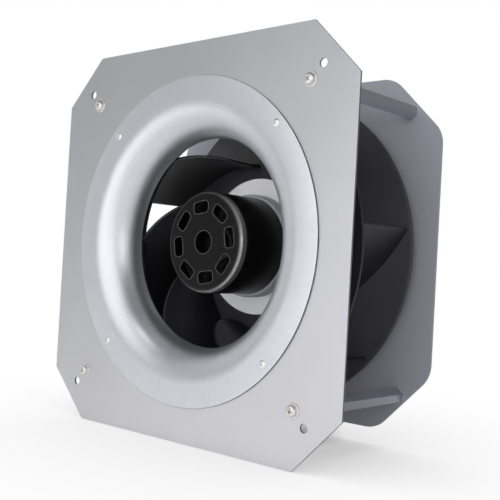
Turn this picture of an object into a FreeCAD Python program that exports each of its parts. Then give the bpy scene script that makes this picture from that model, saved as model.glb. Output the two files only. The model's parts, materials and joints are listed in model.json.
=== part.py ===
"""Plug fan: a backward-curved impeller on an external-rotor motor between two square plates.

The fan axis is Y. The air comes in along +Y through the nozzle in the inlet plate and leaves
between the plates. The origin is on the axis, in the front face of the inlet plate, and +Z is up.
Distances along Y are called depth. Lengths are in millimetres and angles in degrees.
"""
import FreeCAD, Part
import os
import re
from math import sqrt

import Sketcher
from FreeCAD import Vector

SIZES = {
    # Inlet plate: square galvanised sheet with sawn-off corners
    "plate_width": 400.0,
    "plate_chamfer": 51.5,
    "plate_sheet": 2.0,
    "fixing_inset": 39.9,  # from the plate's edges to the mounting holes
    "fixing_radius": 4.25,
    "post_inset": 53.2,  # from the plate's edges to the spacer posts
    "post_hole_radius": 4.5,
    # Inlet nozzle: spun sheet with a flange, a bell and a short straight lip
    "nozzle_sheet": 1.5,
    "throat_radius": 107.8,
    "bell_radius": 35.0,
    "lip_length": 4.0,
    "bell_play": 2.5,  # between the back of the bell and the edge of the plate's opening
    "rivet_step": 13.2,  # from the edge of the bell to the circle of rivets
    "flange_margin": 9.5,  # from the circle of rivets to the edge of the flange
    "rivet_radius": 2.0,
    "rivet_head_radius": 4.0,
    "rivet_head_height": 1.3,
    "rivet_tail_length": 2.5,
    "rivet_tail_radius": 3.0,
    "rivet_top_radius": 2.0,
    # Spacer posts: hexagonal bar, tapped at both ends
    "post_length": 169.7,
    "post_flats": 14.0,
    "post_angle": 20.0,
    "post_edge": 1.4,  # chamfer at the ends of a post, across
    "post_thread_radius": 4.0,
    "post_thread_depth": 24.0,
    "thread_play": 0.05,
    "screw_head_radius": 7.5,
    "screw_head_height": 5.0,
    "screw_length": 20.0,
    # Motor plate: the rear square sheet, with rounded corners
    "rear_inset": 16.0,  # how far it ends inside the inlet plate's edges
    "rear_chamfer": 60.3,
    "rear_corner": 30.0,
    "rear_sheet": 2.5,
    # Rotor cup of the external-rotor motor
    "rotor_front": 25.0,
    "rotor_radius": 52.0,
    "rotor_rear": 110.6,
    "rotor_wall": 2.5,
    "rotor_edge": 5.0,
    "eye_radius": 12.0,
    "vent_circle": 36.0,
    "vent_depth": 12.5,
    "vent_length": 21.0,
    "vent_corner": 4.5,
    "vent_count": 8,
    "vent_angle": 9.0,
    # Hub of the rotor and the shaft
    "hub_flange_radius": 24.0,
    "hub_flange_sheet": 3.0,
    "hub_radius": 16.0,
    "hub_recess": 11.0,
    "hub_rear": 42.0,
    "hub_nose_radius": 8.0,
    "shaft_radius": 6.0,
    "shaft_front": 36.0,
    "shaft_rear": 118.0,
    "shaft_edge": 0.8,
    # Magnets and stator
    "magnet_front": 43.0,
    "magnet_rear": 93.0,
    "magnet_thickness": 4.0,
    "magnet_count": 8,
    "magnet_angle": 40.0,
    "air_gap": 1.0,
    "stack_front": 50.0,
    "stack_rear": 86.0,
    "tooth_count": 12,
    "tooth_width": 7.0,
    "tooth_tip": 3.0,
    "slot_mouth": 3.0,
    "yoke_radius": 24.0,
    "insulator_sheet": 1.5,
    "coil_thickness": 1.6,
    "coil_reach": 5.0,
    "coil_play": 0.3,
    "coil_root": 1.2,
    "coil_end": 1.5,
    # Ball bearings
    "bearing_radius": 14.0,
    "bearing_width": 8.0,
    "front_bearing": 48.0,
    "rear_bearing": 104.0,
    "ball_radius": 2.38,
    "ball_play": 0.08,
    "ball_count": 7,
    "race_depth": 0.7,
    "cage_sheet": 0.8,
    "cage_height": 1.6,
    "cage_finger": 4.05,
    "washer_sheet": 0.6,
    "ring_sheet": 1.0,
    "ring_height": 2.0,
    "ring_gap": 5.0,
    # Motor flange: cast tube, web, housing, mounting flange and ribs
    "tube_radius": 18.0,
    "tube_shoulder": 2.0,
    "web_front": 113.2,
    "web_sheet": 5.0,
    "housing_radius": 50.0,
    "housing_wall": 4.0,
    "housing_rear": 200.0,
    "mount_margin": 8.0,  # from the circle of mounting screws to the edge of their flange
    "mount_flange_sheet": 6.0,
    "mount_step": 13.0,  # from the housing to the circle of mounting screws
    "mount_screw_radius": 2.5,
    "mount_screw_head": 4.7,
    "mount_screw_height": 3.5,
    "rib_count": 12,
    "rib_sheet": 3.0,
    "rib_rise": 24.0,
    "rib_margin": 2.0,
    "cast_overlap": 1.0,  # how deep a rib, lug or stud starts inside the wall that carries it
    "lug_angle": 45.0,
    "lug_radius": 5.5,
    "lug_length": 14.0,
    "cover_tap_depth": 13.0,
    "hole_play": 0.5,
    # Control board and rear cover
    "board_depth": 150.0,
    "board_sheet": 1.6,
    "board_play": 1.0,
    "stud_circle": 34.0,
    "stud_radius": 3.5,
    "board_tap_depth": 8.0,
    "board_screw_radius": 1.5,
    "board_screw_head": 2.8,
    "board_screw_height": 1.5,
    "board_screw_reach": 6.0,
    "capacitor_radius": 9.0,
    "capacitor_length": 28.0,
    "capacitor_offset": 21.0,
    "terminal_width": 30.0,
    "terminal_height": 12.0,
    "terminal_length": 14.0,
    "terminal_pitch": 8.8,
    "terminal_way": 3.0,
    "terminal_way_depth": 4.0,
    "gasket_sheet": 1.0,
    "cover_sheet": 4.0,
    "cover_rim": 5.5,
    "cover_edge": 1.0,
    "fin_count": 9,
    "fin_pitch": 9.0,
    "fin_sheet": 2.5,
    "fin_height": 10.0,
    "fin_root": 0.5,
    "cover_screw_radius": 2.0,
    "cover_screw_head": 3.8,
    "cover_screw_height": 2.8,
    "cover_screw_length": 12.0,
    # Cable gland in the housing's underside
    "gland_depth": 187.0,
    "gland_thread": 6.0,
    "gland_bore": 3.5,
    "gland_flats": 15.0,
    "gland_hex": 5.0,
    "gland_nut_radius": 7.0,
    "gland_nut_length": 9.0,
    "gland_neck": 1.0,
    "gland_nut_gap": 0.2,
    "gland_dome_start": 5.4,
    "gland_dome_radius": 4.95,
    "gland_seat_depth": 6.3,
    "gland_lip": 1.0,
    # Impeller: hub ring, back disc, blades and shroud
    "ring_front": 107.6,
    "hub_ring_radius": 74.0,
    "hub_ring_sheet": 3.0,
    "collar_radius": 55.3,
    "collar_front": 92.0,
    "collar_edge": 1.0,
    "impeller_radius": 168.0,
    "disc_rise": 42.8,
    "disc_bow": 170.0,
    "disc_sheet": 3.2,
    "disc_bore": 60.0,
    "disc_lip": 4.5,
    "eye_play": 2.0,
    "shroud_overlap": 6.0,
    "shroud_straight": 6.5,
    "shroud_sheet": 3.0,
    "shroud_curve": 18.0,
    "shroud_angle": 75.0,
    "blade_count": 7,
    "blade_angle": 9.0,
    "blade_sheet": 3.5,
    "blade_radius": 164.0,
    "blade_exit_angle": 36.6,
    "lead_radius_hub": 88.9,
    "lead_radius_dip": 8.3,  # how far inside a straight run the leading edge's middle lies
    "lead_angle_hub": 68.3,
    "lead_angle_bow": 11.3,  # how far ahead of a straight run its middle lies
    "lead_depth_hub": 111.9,
    "lead_eye_step": 1.3,  # how far inside the shroud's eye the leading edge starts
    "lead_angle_eye": 38.3,
    "lead_depth_eye": 44.0,
    "trim_margin": 10.0,  # how far the shapes that trim the blades reach past them
}

# A pan head's section, as shares of its radius and height
PAN_FLAT, PAN_ROUND, PAN_EDGE = 0.55, 0.6, 0.35

BLADE_STEPS = 4  # lofted spans along a blade
ALONG_AXIS = 0.9  # an edge whose direction is nearer than this to the axis runs along it
LEAST_CUT = 1e-3  # mm3; a cut that takes less has missed

doc = FreeCAD.newDocument("plug_fan")


def size_sheet():
    """Put every driving dimension in the sheet, under its own name."""
    sheet = doc.addObject("Spreadsheet::Sheet", "Sizes")
    for row, (name, value) in enumerate(SIZES.items(), start=1):
        sheet.set("A%d" % row, name)
        sheet.set("B%d" % row, str(value))
        sheet.setAlias("B%d" % row, name)
    doc.recompute()
    return sheet


def bound(text):
    """Write each size that the text names as its cell in the sheet."""
    return re.sub(r"[a-z_]+", lambda word: "Sizes." + word[0] if word[0] in SIZES else word[0], text)


def value_of(text):
    """The present value of a text of sizes."""
    return float(sheet.evalExpression(bound(text)))


# Depths and radii that several pieces share, each written once as a text of sizes
MOTOR_PLATE_FRONT = "(plate_sheet + post_length)"
MOTOR_PLATE_REAR = "(plate_sheet + post_length + rear_sheet)"
FIXING_SPACING = "(plate_width - 2 * fixing_inset)"
POST_SPACING = "(plate_width - 2 * post_inset)"
REAR_WIDTH = "(plate_width - 2 * rear_inset)"
BELL_CENTRE = "(throat_radius + bell_radius)"
RIVET_CIRCLE = "(throat_radius + bell_radius + rivet_step)"
RIVET_SPACING = "(%s * sqrt(2))" % RIVET_CIRCLE
FLANGE_RADIUS = "(throat_radius + bell_radius + rivet_step + flange_margin)"
BELL_END = "(bell_radius - nozzle_sheet)"
NOZZLE_END = "(bell_radius - nozzle_sheet + lip_length)"
SHROUD_EYE = "(throat_radius + nozzle_sheet + eye_play)"
SHROUD_FRONT = "(bell_radius - nozzle_sheet + lip_length - shroud_overlap)"
SHROUD_BEND = SHROUD_FRONT[:-1] + " + shroud_straight)"
SHROUD_FLARE = "(%s + shroud_curve * (1 - cos(shroud_angle)))" % SHROUD_EYE
SHROUD_FLARE_DEPTH = "(%s + shroud_curve * sin(shroud_angle))" % SHROUD_BEND
SHROUD_RIM_DEPTH = "(%s + (impeller_radius - %s) / tan(shroud_angle))" % (SHROUD_FLARE_DEPTH, SHROUD_FLARE)
DISC_RIM = "(ring_front + disc_rise)"
MAGNET_BORE = "(rotor_radius - rotor_wall - magnet_thickness)"
STACK_RADIUS = "(rotor_radius - rotor_wall - magnet_thickness - air_gap)"
RACE_CIRCLE = "((bearing_radius + shaft_radius) / 2)"
MOUNT_CIRCLE = "(housing_radius + mount_step)"
MOUNT_FLANGE_RADIUS = "(housing_radius + mount_step + mount_margin)"
BOARD_RADIUS = "(housing_radius - housing_wall - board_play)"
LUG_PLACE = ("housing_radius * cos(lug_angle)", "housing_radius * sin(lug_angle)")
LEAD_RADIUS_EYE = "(%s - lead_eye_step)" % SHROUD_EYE
COVER_FRONT = "(housing_rear + gasket_sheet)"
COVER_RADIUS = "(housing_radius + cover_rim)"


def new_body(name, depth="0", angle="0", across="0", up="0"):
    """A body at a depth on the axis, or off it, turned anticlockwise as seen from the inlet."""
    body = doc.addObject("PartDesign::Body", name)
    body.Label = name
    place = "placement(vector(%s; %s; %s); rotation(vector(0; -1; 0); %s))"
    body.setExpression("Placement", bound(place % (across, depth, up, angle)))
    return body


def origin_part(body, role):
    return next(feature for feature in body.Origin.OriginFeatures if feature.Role == role)


def new_sketch(body, name, plane, depth=None):
    """A sketch on one of the body's own planes: XY holds the axis, and XZ lies across it."""
    sketch = body.newObject("Sketcher::SketchObject", body.Name + "_" + name)
    sketch.AttachmentSupport = (origin_part(body, plane), [""])
    sketch.MapMode = "FlatFace"
    if depth is not None:
        sketch.setExpression("AttachmentOffset.Base.z", bound("-(%s)" % depth))
    return sketch


def dimension(sketch, kind, *place, size):
    """One dimension of a sketch, which follows its text of sizes."""
    index = sketch.addConstraint(Sketcher.Constraint(kind, *place, value_of(size)))
    sketch.setExpression("Constraints[%d]" % index, bound(size))


def place_point(sketch, geometry, end, across, along):
    dimension(sketch, "DistanceX", -1, 1, geometry, end, size=across)
    dimension(sketch, "DistanceY", -1, 1, geometry, end, size=along)


def outline(sketch, *corners):
    """Close an outline through its corners, each (x, y) or (x, y, radius, side).

    With a radius, the edge that leaves the corner is an arc, which bulges to the left or the
    right of its way.
    """
    points = [Vector(value_of(corner[0]), value_of(corner[1]), 0) for corner in corners]
    edges = []
    for start, end, corner in zip(points, points[1:] + points[:1], corners):
        if len(corner) == 2:
            edges.append((sketch.addGeometry(Part.LineSegment(start, end), False), 1, 2))
            continue
        radius, leftward = value_of(corner[2]), corner[3] == "left"
        chord = end - start
        half = chord.Length / 2
        aside = Vector(chord.y, -chord.x, 0).normalize() * sqrt(max(radius**2 - half**2, 0))
        centre = (start + end) * 0.5 + (aside if leftward else aside * -1)
        circle = Part.Circle(centre, Vector(0, 0, 1), radius)
        first, last = (end, start) if leftward else (start, end)
        arc = Part.ArcOfCircle(circle, circle.parameter(first), circle.parameter(last))
        ends = (2, 1) if leftward else (1, 2)
        edges.append((sketch.addGeometry(arc, False), *ends))
    for before, here, corner in zip(edges[-1:] + edges[:-1], edges, corners):
        sketch.addConstraint(Sketcher.Constraint("Coincident", before[0], before[2], here[0], here[1]))
        place_point(sketch, here[0], here[1], corner[0], corner[1])
        if len(corner) > 2:
            dimension(sketch, "Radius", here[0], size=corner[2])


def hole(sketch, radius, across="0", up="0"):
    """A circle in a sketch."""
    centre = Vector(value_of(across), value_of(up), 0)
    index = sketch.addGeometry(Part.Circle(centre, Vector(0, 0, 1), value_of(radius)), False)
    place_point(sketch, index, 3, across, up)
    dimension(sketch, "Radius", index, size=radius)


def square_holes(sketch, radius, spacing):
    """Four circles at the corners of a square about the axis."""
    for across in ("%s / 2", "%s / -2"):
        for up in ("%s / 2", "%s / -2"):
            hole(sketch, radius, across % spacing, up % spacing)


def own_axis(sketch, across):
    """A construction line along Y, for a revolved piece that stands off the fan axis."""
    start = Vector(value_of(across), 0, 0)
    end = Vector(value_of(across), value_of("plate_sheet"), 0)
    index = sketch.addGeometry(Part.LineSegment(start, end), True)
    place_point(sketch, index, 1, across, "0")
    place_point(sketch, index, 2, across, "plate_sheet")
    return "Axis0"


def feature_of(sketch, kind, name):
    """A feature of the sketch's body that uses the whole sketch."""
    body = sketch.getParentGeoFeatureGroup()
    feature = body.newObject("PartDesign::" + kind, body.Name + "_" + name)
    feature.Profile = (sketch, [""])
    return feature


def pad(sketch, name, length, backward=True):
    """Extend a sketch that lies across the axis towards the rear, or any other along its normal."""
    feature = feature_of(sketch, "Pad", name)
    feature.setExpression("Length", bound(length))
    feature.Reversed = backward
    return feature


def must_cut(feature):
    """Raise if a cut leaves the body's volume as it was."""
    doc.recompute()
    before = feature.BaseFeature.Shape.Volume
    if feature.Shape.Volume > before - LEAST_CUT:
        raise RuntimeError(feature.Name + " cuts nothing")
    return feature


def pocket(sketch, name, length=None):
    """Cut a sketch that lies across the axis towards the rear, right through or to a length."""
    feature = feature_of(sketch, "Pocket", name)
    if length is None:
        feature.Type = "ThroughAll"
    else:
        feature.setExpression("Length", bound(length))
    return must_cut(feature)


def turn(sketch, name, axis="V_Axis"):
    feature = feature_of(sketch, "Revolution", name)
    feature.ReferenceAxis = (sketch, [axis])
    feature.Angle = 360
    return feature


def groove(sketch, name, axis="V_Axis"):
    feature = feature_of(sketch, "Groove", name)
    feature.ReferenceAxis = (sketch, [axis])
    feature.Angle = 360
    return must_cut(feature)


def around(feature, name, count):
    """Repeat a feature about the fan axis."""
    body = feature.getParentGeoFeatureGroup()
    pattern = body.newObject("PartDesign::PolarPattern", body.Name + "_" + name)
    pattern.Originals = [feature]
    pattern.Axis = (origin_part(body, "Y_Axis"), [""])
    pattern.Angle = 360
    pattern.setExpression("Occurrences", bound(count))
    body.Tip = pattern
    return pattern


def turned(name, *corners, depth="0", angle="0"):
    """A body turned about the fan axis from one outline of (radius, depth) corners."""
    body = new_body(name, depth, angle)
    sketch = new_sketch(body, "section", "XY_Plane")
    outline(sketch, *corners)
    turn(sketch, "turned")
    return body


def fastener_group(name, circle, angle, depth, *corners, count="4"):
    """Identical turned fasteners on a circle about the fan axis, as separate solids."""
    body = new_body(name, depth, angle)
    sketch = new_sketch(body, "section", "XY_Plane")
    axis = own_axis(sketch, circle)
    outline(sketch, *[("%s + %s" % (circle, corner[0]), *corner[1:]) for corner in corners])
    around(turn(sketch, "turned", axis), "group", count)
    return body


def pan_screw(radius, head_radius, head_height, length, rearward=True):
    """Corners of a pan-head screw's section: the head before depth 0 and the shank behind it."""
    way = "" if rearward else "-"
    side = "right" if rearward else "left"
    flat, rounding = "%s * %s" % (head_radius, PAN_FLAT), "%s * %s" % (head_radius, PAN_ROUND)
    return (
        ("0", "%s(-%s)" % (way, head_height)),
        (flat, "%s(-%s)" % (way, head_height), rounding, side),
        (head_radius, "%s(-%s * %s)" % (way, head_height, PAN_EDGE)),
        (head_radius, "0"),
        (radius, "0"),
        (radius, "%s(%s)" % (way, length)),
        ("0", "%s(%s)" % (way, length)),
    )


def plate(name, depth, width, chamfer, sheet_size):
    """A square sheet with its corners sawn off."""
    body = new_body(name, depth)
    sketch = new_sketch(body, "square", "XZ_Plane")
    half, short = "%s / 2" % width, "%s / 2 - %s" % (width, chamfer)
    signs = ((1, 1), (-1, 1), (-1, -1), (1, -1))
    corners = []
    for across, up in signs:
        pair = [("%d * (%s)" % (across, half), "%d * (%s)" % (up, short)),
                ("%d * (%s)" % (across, short), "%d * (%s)" % (up, half))]
        corners += pair if across * up > 0 else pair[::-1]
    outline(sketch, *corners)
    pad(sketch, "sheet", sheet_size)
    return body


def inlet_plate():
    body = plate("inlet_plate", "0", "plate_width", "plate_chamfer", "plate_sheet")
    sketch = new_sketch(body, "holes", "XZ_Plane")
    hole(sketch, BELL_CENTRE + " + bell_play")
    square_holes(sketch, "fixing_radius", FIXING_SPACING)
    square_holes(sketch, "post_hole_radius", POST_SPACING)
    square_holes(sketch, "rivet_radius + thread_play", RIVET_SPACING)
    pocket(sketch, "cut")


def inlet_nozzle():
    """Flange against the plate's front, bell back to the throat, straight lip into the shroud."""
    body = turned(
        "inlet_nozzle",
        (FLANGE_RADIUS, "-nozzle_sheet"),
        (FLANGE_RADIUS, "0"),
        (BELL_CENTRE, "0", BELL_END, "left"),
        ("throat_radius + nozzle_sheet", BELL_END),
        ("throat_radius + nozzle_sheet", NOZZLE_END),
        ("throat_radius", NOZZLE_END),
        ("throat_radius", BELL_END, "bell_radius", "right"),
        (BELL_CENTRE, "-nozzle_sheet"),
    )
    sketch = new_sketch(body, "rivet_holes", "XZ_Plane", "-nozzle_sheet")
    square_holes(sketch, "rivet_radius + thread_play", RIVET_SPACING)
    pocket(sketch, "cut", "nozzle_sheet")


def nozzle_rivets():
    """Blind rivets: a domed head before the flange and a closed tail behind the plate."""
    head, tail = "-nozzle_sheet", "plate_sheet"
    fastener_group(
        "nozzle_rivets", RIVET_CIRCLE, "45", "0",
        ("0", "%s - rivet_head_height" % head),
        ("rivet_top_radius", "%s - rivet_head_height" % head),
        ("rivet_head_radius", head),
        ("rivet_radius", head),
        ("rivet_radius", tail),
        ("rivet_tail_radius", tail),
        ("rivet_tail_radius", "%s + rivet_tail_length" % tail),
        ("0", "%s + rivet_tail_length" % tail),
    )


def spacer_post(name, across, up):
    """A hexagonal bar with chamfered ends and a tapped hole in each; one edge faces outwards."""
    turned_by = "%d * post_angle" % -(across * up)
    body = new_body(name, "plate_sheet", turned_by,
                    "%d * %s / 2" % (across, POST_SPACING), "%d * %s / 2" % (up, POST_SPACING))
    sketch = new_sketch(body, "hexagon", "XZ_Plane")
    corner = "post_flats / sqrt(3)"
    outline(sketch, *[("%s * cos(%d)" % (corner, side * 60), "%s * sin(%d)" % (corner, side * 60))
                      for side in range(6)])
    pad(sketch, "bar", "post_length")
    ends = new_sketch(body, "ends", "XY_Plane")
    outer = "post_flats / 2 + post_edge"
    outline(ends, ("post_flats / 2", "0"), (outer, "0"), (outer, "post_edge * tan(30)"))
    outline(ends, ("post_flats / 2", "post_length"), (outer, "post_length"),
            (outer, "post_length - post_edge * tan(30)"))
    bore = "post_thread_radius + thread_play"
    for start, end in (("0", "post_thread_depth"), ("post_length - post_thread_depth", "post_length")):
        outline(ends, ("0", start), (bore, start), (bore, end), ("0", end))
    groove(ends, "turned_ends")


def motor_plate():
    body = plate("motor_plate", MOTOR_PLATE_FRONT, REAR_WIDTH, "rear_chamfer", "rear_sheet")
    doc.recompute()
    sheet_pad = body.Tip
    edges = ["Edge%d" % (index + 1) for index, edge in enumerate(sheet_pad.Shape.Edges)
             if abs(edge.tangentAt(edge.FirstParameter).y) > ALONG_AXIS]
    fillet = body.newObject("PartDesign::Fillet", "motor_plate_corners")
    fillet.Base = (sheet_pad, edges)
    fillet.setExpression("Radius", bound("rear_corner"))
    sketch = new_sketch(body, "holes", "XZ_Plane")
    hole(sketch, "housing_radius + lug_radius + hole_play")
    square_holes(sketch, "post_hole_radius", POST_SPACING)
    square_holes(sketch, "mount_screw_radius + hole_play", "(%s * sqrt(2))" % MOUNT_CIRCLE)
    pocket(sketch, "cut")


def rotor_cup():
    """Deep-drawn cup, open at the rear, with an eye and a ring of cooling slots in its face."""
    inner = "rotor_radius - rotor_wall"
    inner_edge = "rotor_edge - rotor_wall"
    body = turned(
        "rotor_cup",
        ("eye_radius", "rotor_front"),
        ("rotor_radius - rotor_edge", "rotor_front", "rotor_edge", "right"),
        ("rotor_radius", "rotor_front + rotor_edge"),
        ("rotor_radius", "rotor_rear"),
        (inner, "rotor_rear"),
        (inner, "rotor_front + rotor_edge", inner_edge, "left"),
        ("rotor_radius - rotor_edge", "rotor_front + rotor_wall"),
        ("eye_radius", "rotor_front + rotor_wall"),
        angle="vent_angle",
    )
    sketch = new_sketch(body, "vent", "XZ_Plane", "rotor_front")
    near, far = "vent_circle - vent_depth / 2", "vent_circle + vent_depth / 2"
    half = "vent_length / 2"
    outline(
        sketch,
        (near, "vent_corner - " + half, "vent_corner", "right"),
        ("%s + vent_corner" % near, "-" + half),
        ("%s - vent_corner" % far, "-" + half, "vent_corner", "right"),
        (far, "vent_corner - " + half),
        (far, "%s - vent_corner" % half, "vent_corner", "right"),
        ("%s - vent_corner" % far, half),
        ("%s + vent_corner" % near, half, "vent_corner", "right"),
        (near, "%s - vent_corner" % half),
    )
    around(pocket(sketch, "vent_cut", "rotor_wall"), "vents", "vent_count")


def rotor_hub():
    """Boss behind the cup's face that holds the shaft; its recess is the dark eye of the rotor."""
    front = "rotor_front + rotor_wall"
    turned(
        "rotor_hub",
        ("eye_radius", front),
        ("hub_flange_radius", front),
        ("hub_flange_radius", front + " + hub_flange_sheet"),
        ("hub_radius", front + " + hub_flange_sheet"),
        ("hub_radius", "hub_rear"),
        ("hub_nose_radius", "hub_rear"),
        ("hub_nose_radius", "front_bearing"),
        ("shaft_radius", "front_bearing"),
        ("shaft_radius", front + " + hub_recess"),
        ("eye_radius", front + " + hub_recess"),
    )


def rotor_shaft():
    turned(
        "rotor_shaft",
        ("0", "shaft_front"),
        ("shaft_radius - shaft_edge", "shaft_front"),
        ("shaft_radius", "shaft_front + shaft_edge"),
        ("shaft_radius", "shaft_rear - shaft_edge"),
        ("shaft_radius - shaft_edge", "shaft_rear"),
        ("0", "shaft_rear"),
    )


def rotor_magnets():
    """Arc magnets on the inside of the cup."""
    body = new_body("rotor_magnets", "magnet_front")
    sketch = new_sketch(body, "arc", "XZ_Plane")
    outer, inner = "(rotor_radius - rotor_wall)", MAGNET_BORE
    sine, cosine = "sin(magnet_angle / 2)", "cos(magnet_angle / 2)"
    outline(
        sketch,
        ("%s * %s" % (inner, cosine), "-%s * %s" % (inner, sine)),
        ("%s * %s" % (outer, cosine), "-%s * %s" % (outer, sine), outer, "right"),
        ("%s * %s" % (outer, cosine), "%s * %s" % (outer, sine)),
        ("%s * %s" % (inner, cosine), "%s * %s" % (inner, sine), inner, "left"),
    )
    around(pad(sketch, "arc_pad", "magnet_rear - magnet_front"), "ring", "magnet_count")


def stator_star(name, depth, length):
    """Yoke on the bearing tube and teeth with wide tips: the lamination stack and its insulators."""
    body = new_body(name, depth)
    blank = new_sketch(body, "blank", "XZ_Plane")
    hole(blank, STACK_RADIUS)
    hole(blank, "tube_radius")
    pad(blank, "stack", length)
    slot = new_sketch(body, "slot", "XZ_Plane")
    flank = "180 / tooth_count"
    inner, outer = "yoke_radius", "(%s - tooth_tip)" % STACK_RADIUS
    corners = []
    for side, order in ((-1, (inner, outer)), (1, (outer, inner))):
        for radius in order:
            along = "(%s * cos(%s) + tooth_width / 2 * sin(%s))" % (radius, flank, flank)
            aside = "(%s * sin(%s) - tooth_width / 2 * cos(%s))" % (radius, flank, flank)
            corners.append((along, "%d * %s" % (side, aside)))
    mouth = "slot_mouth / 2"
    corners[2:2] = [(outer + " + cast_overlap", "-" + mouth), (STACK_RADIUS + " + cast_overlap", "-" + mouth),
                    (STACK_RADIUS + " + cast_overlap", mouth), (outer + " + cast_overlap", mouth)]
    outline(slot, *corners)
    around(pocket(slot, "slot_cut", length), "slots", "tooth_count")


def stator_coils():
    """One coil round each tooth, clear of its neighbours and of the tooth."""
    body = new_body("stator_coils", "stack_front", "180 / tooth_count")
    inner = "yoke_radius + coil_root"
    outer = "%s - tooth_tip - coil_end" % STACK_RADIUS
    half = "tooth_width / 2 + coil_play"
    sketch = new_sketch(body, "winding", "YZ_Plane")
    sketch.setExpression("AttachmentOffset.Base.z", bound(inner))
    front, rear = "-coil_play - insulator_sheet", "stack_rear - stack_front + coil_play + insulator_sheet"
    for grow, reach in (("0", "0"), ("coil_thickness", "coil_reach")):
        low, high = "%s - %s" % (front, reach), "%s + %s" % (rear, reach)
        side = "(%s + %s)" % (half, grow)
        outline(sketch, (low, "-" + side), (high, "-" + side), (high, side), (low, side))
    around(pad(sketch, "coil", "%s - (%s)" % (outer, inner), backward=False), "coils", "tooth_count")


def bearing(name, depth):
    """Inner and outer ring, balls and cage of one deep-groove bearing, as separate pieces."""
    middle = "bearing_width / 2"
    groove_radius = "ball_radius + ball_play"
    rise = "(ball_radius - race_depth)"
    reach = "sqrt((%s)^2 - %s^2)" % (groove_radius, rise)
    turned(
        name + "_inner_ring",
        ("shaft_radius", "0"),
        ("%s - %s" % (RACE_CIRCLE, rise), "0"),
        ("%s - %s" % (RACE_CIRCLE, rise), "%s - %s" % (middle, reach), groove_radius, "left"),
        ("%s - %s" % (RACE_CIRCLE, rise), "%s + %s" % (middle, reach)),
        ("%s - %s" % (RACE_CIRCLE, rise), "bearing_width"),
        ("shaft_radius", "bearing_width"),
        depth=depth,
    )
    turned(
        name + "_outer_ring",
        ("bearing_radius", "0"),
        ("bearing_radius", "bearing_width"),
        ("%s + %s" % (RACE_CIRCLE, rise), "bearing_width"),
        ("%s + %s" % (RACE_CIRCLE, rise), "%s + %s" % (middle, reach), groove_radius, "left"),
        ("%s + %s" % (RACE_CIRCLE, rise), "%s - %s" % (middle, reach)),
        ("%s + %s" % (RACE_CIRCLE, rise), "0"),
        depth=depth,
    )
    balls = new_body(name + "_balls", "%s + %s" % (depth, middle))
    sketch = new_sketch(balls, "section", "XY_Plane")
    axis = own_axis(sketch, RACE_CIRCLE)
    side = RACE_CIRCLE + " + ball_radius"
    outline(
        sketch,
        (RACE_CIRCLE, "-ball_radius", "ball_radius", "right"),
        (side, "0", "ball_radius", "right"),
        (RACE_CIRCLE, "ball_radius"),
    )
    around(turn(sketch, "ball", axis), "row", "ball_count")
    cage = new_body(name + "_cage", "%s + %s" % (depth, middle))
    inner, outer = "%s - cage_height / 2" % RACE_CIRCLE, "%s + cage_height / 2" % RACE_CIRCLE
    crown = "ball_radius + ball_play"
    section = new_sketch(cage, "section", "XY_Plane")
    outline(section, (inner, crown), (outer, crown), (outer, crown + " + cage_sheet"),
            (inner, crown + " + cage_sheet"))
    turn(section, "crown")
    finger = new_sketch(cage, "finger", "XZ_Plane", "-ball_radius / 2")
    angle = "180 / ball_count"
    along = "%s * cos(%s)" % (RACE_CIRCLE, angle)
    aside = "%s * sin(%s)" % (RACE_CIRCLE, angle)
    hole(finger, "cage_height / 2 - ball_play", along, aside)
    around(pad(finger, "finger_pad", "cage_finger"), "fingers", "ball_count")


def preload_washer():
    """Spring washer that pushes the rear bearing's outer ring away from the tube's shoulder."""
    turned(
        "preload_washer",
        ("bearing_radius - tube_shoulder", "rear_bearing - washer_sheet"),
        ("bearing_radius - thread_play", "rear_bearing - washer_sheet"),
        ("bearing_radius - thread_play", "rear_bearing"),
        ("bearing_radius - tube_shoulder", "rear_bearing"),
    )


def shaft_retaining_ring():
    """Open ring on the shaft behind the rear bearing."""
    depth = "rear_bearing + bearing_width"
    body = turned(
        "shaft_retaining_ring",
        ("shaft_radius", "0"),
        ("shaft_radius + ring_height", "0"),
        ("shaft_radius + ring_height", "ring_sheet"),
        ("shaft_radius", "ring_sheet"),
        depth=depth,
    )
    sketch = new_sketch(body, "gap", "XZ_Plane")
    far, side = "shaft_radius + ring_height * 2", "ring_gap / 2"
    outline(sketch, ("0", "-" + side), (far, "-" + side), (far, side), ("0", side))
    pocket(sketch, "gap_cut", "ring_sheet")


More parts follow.
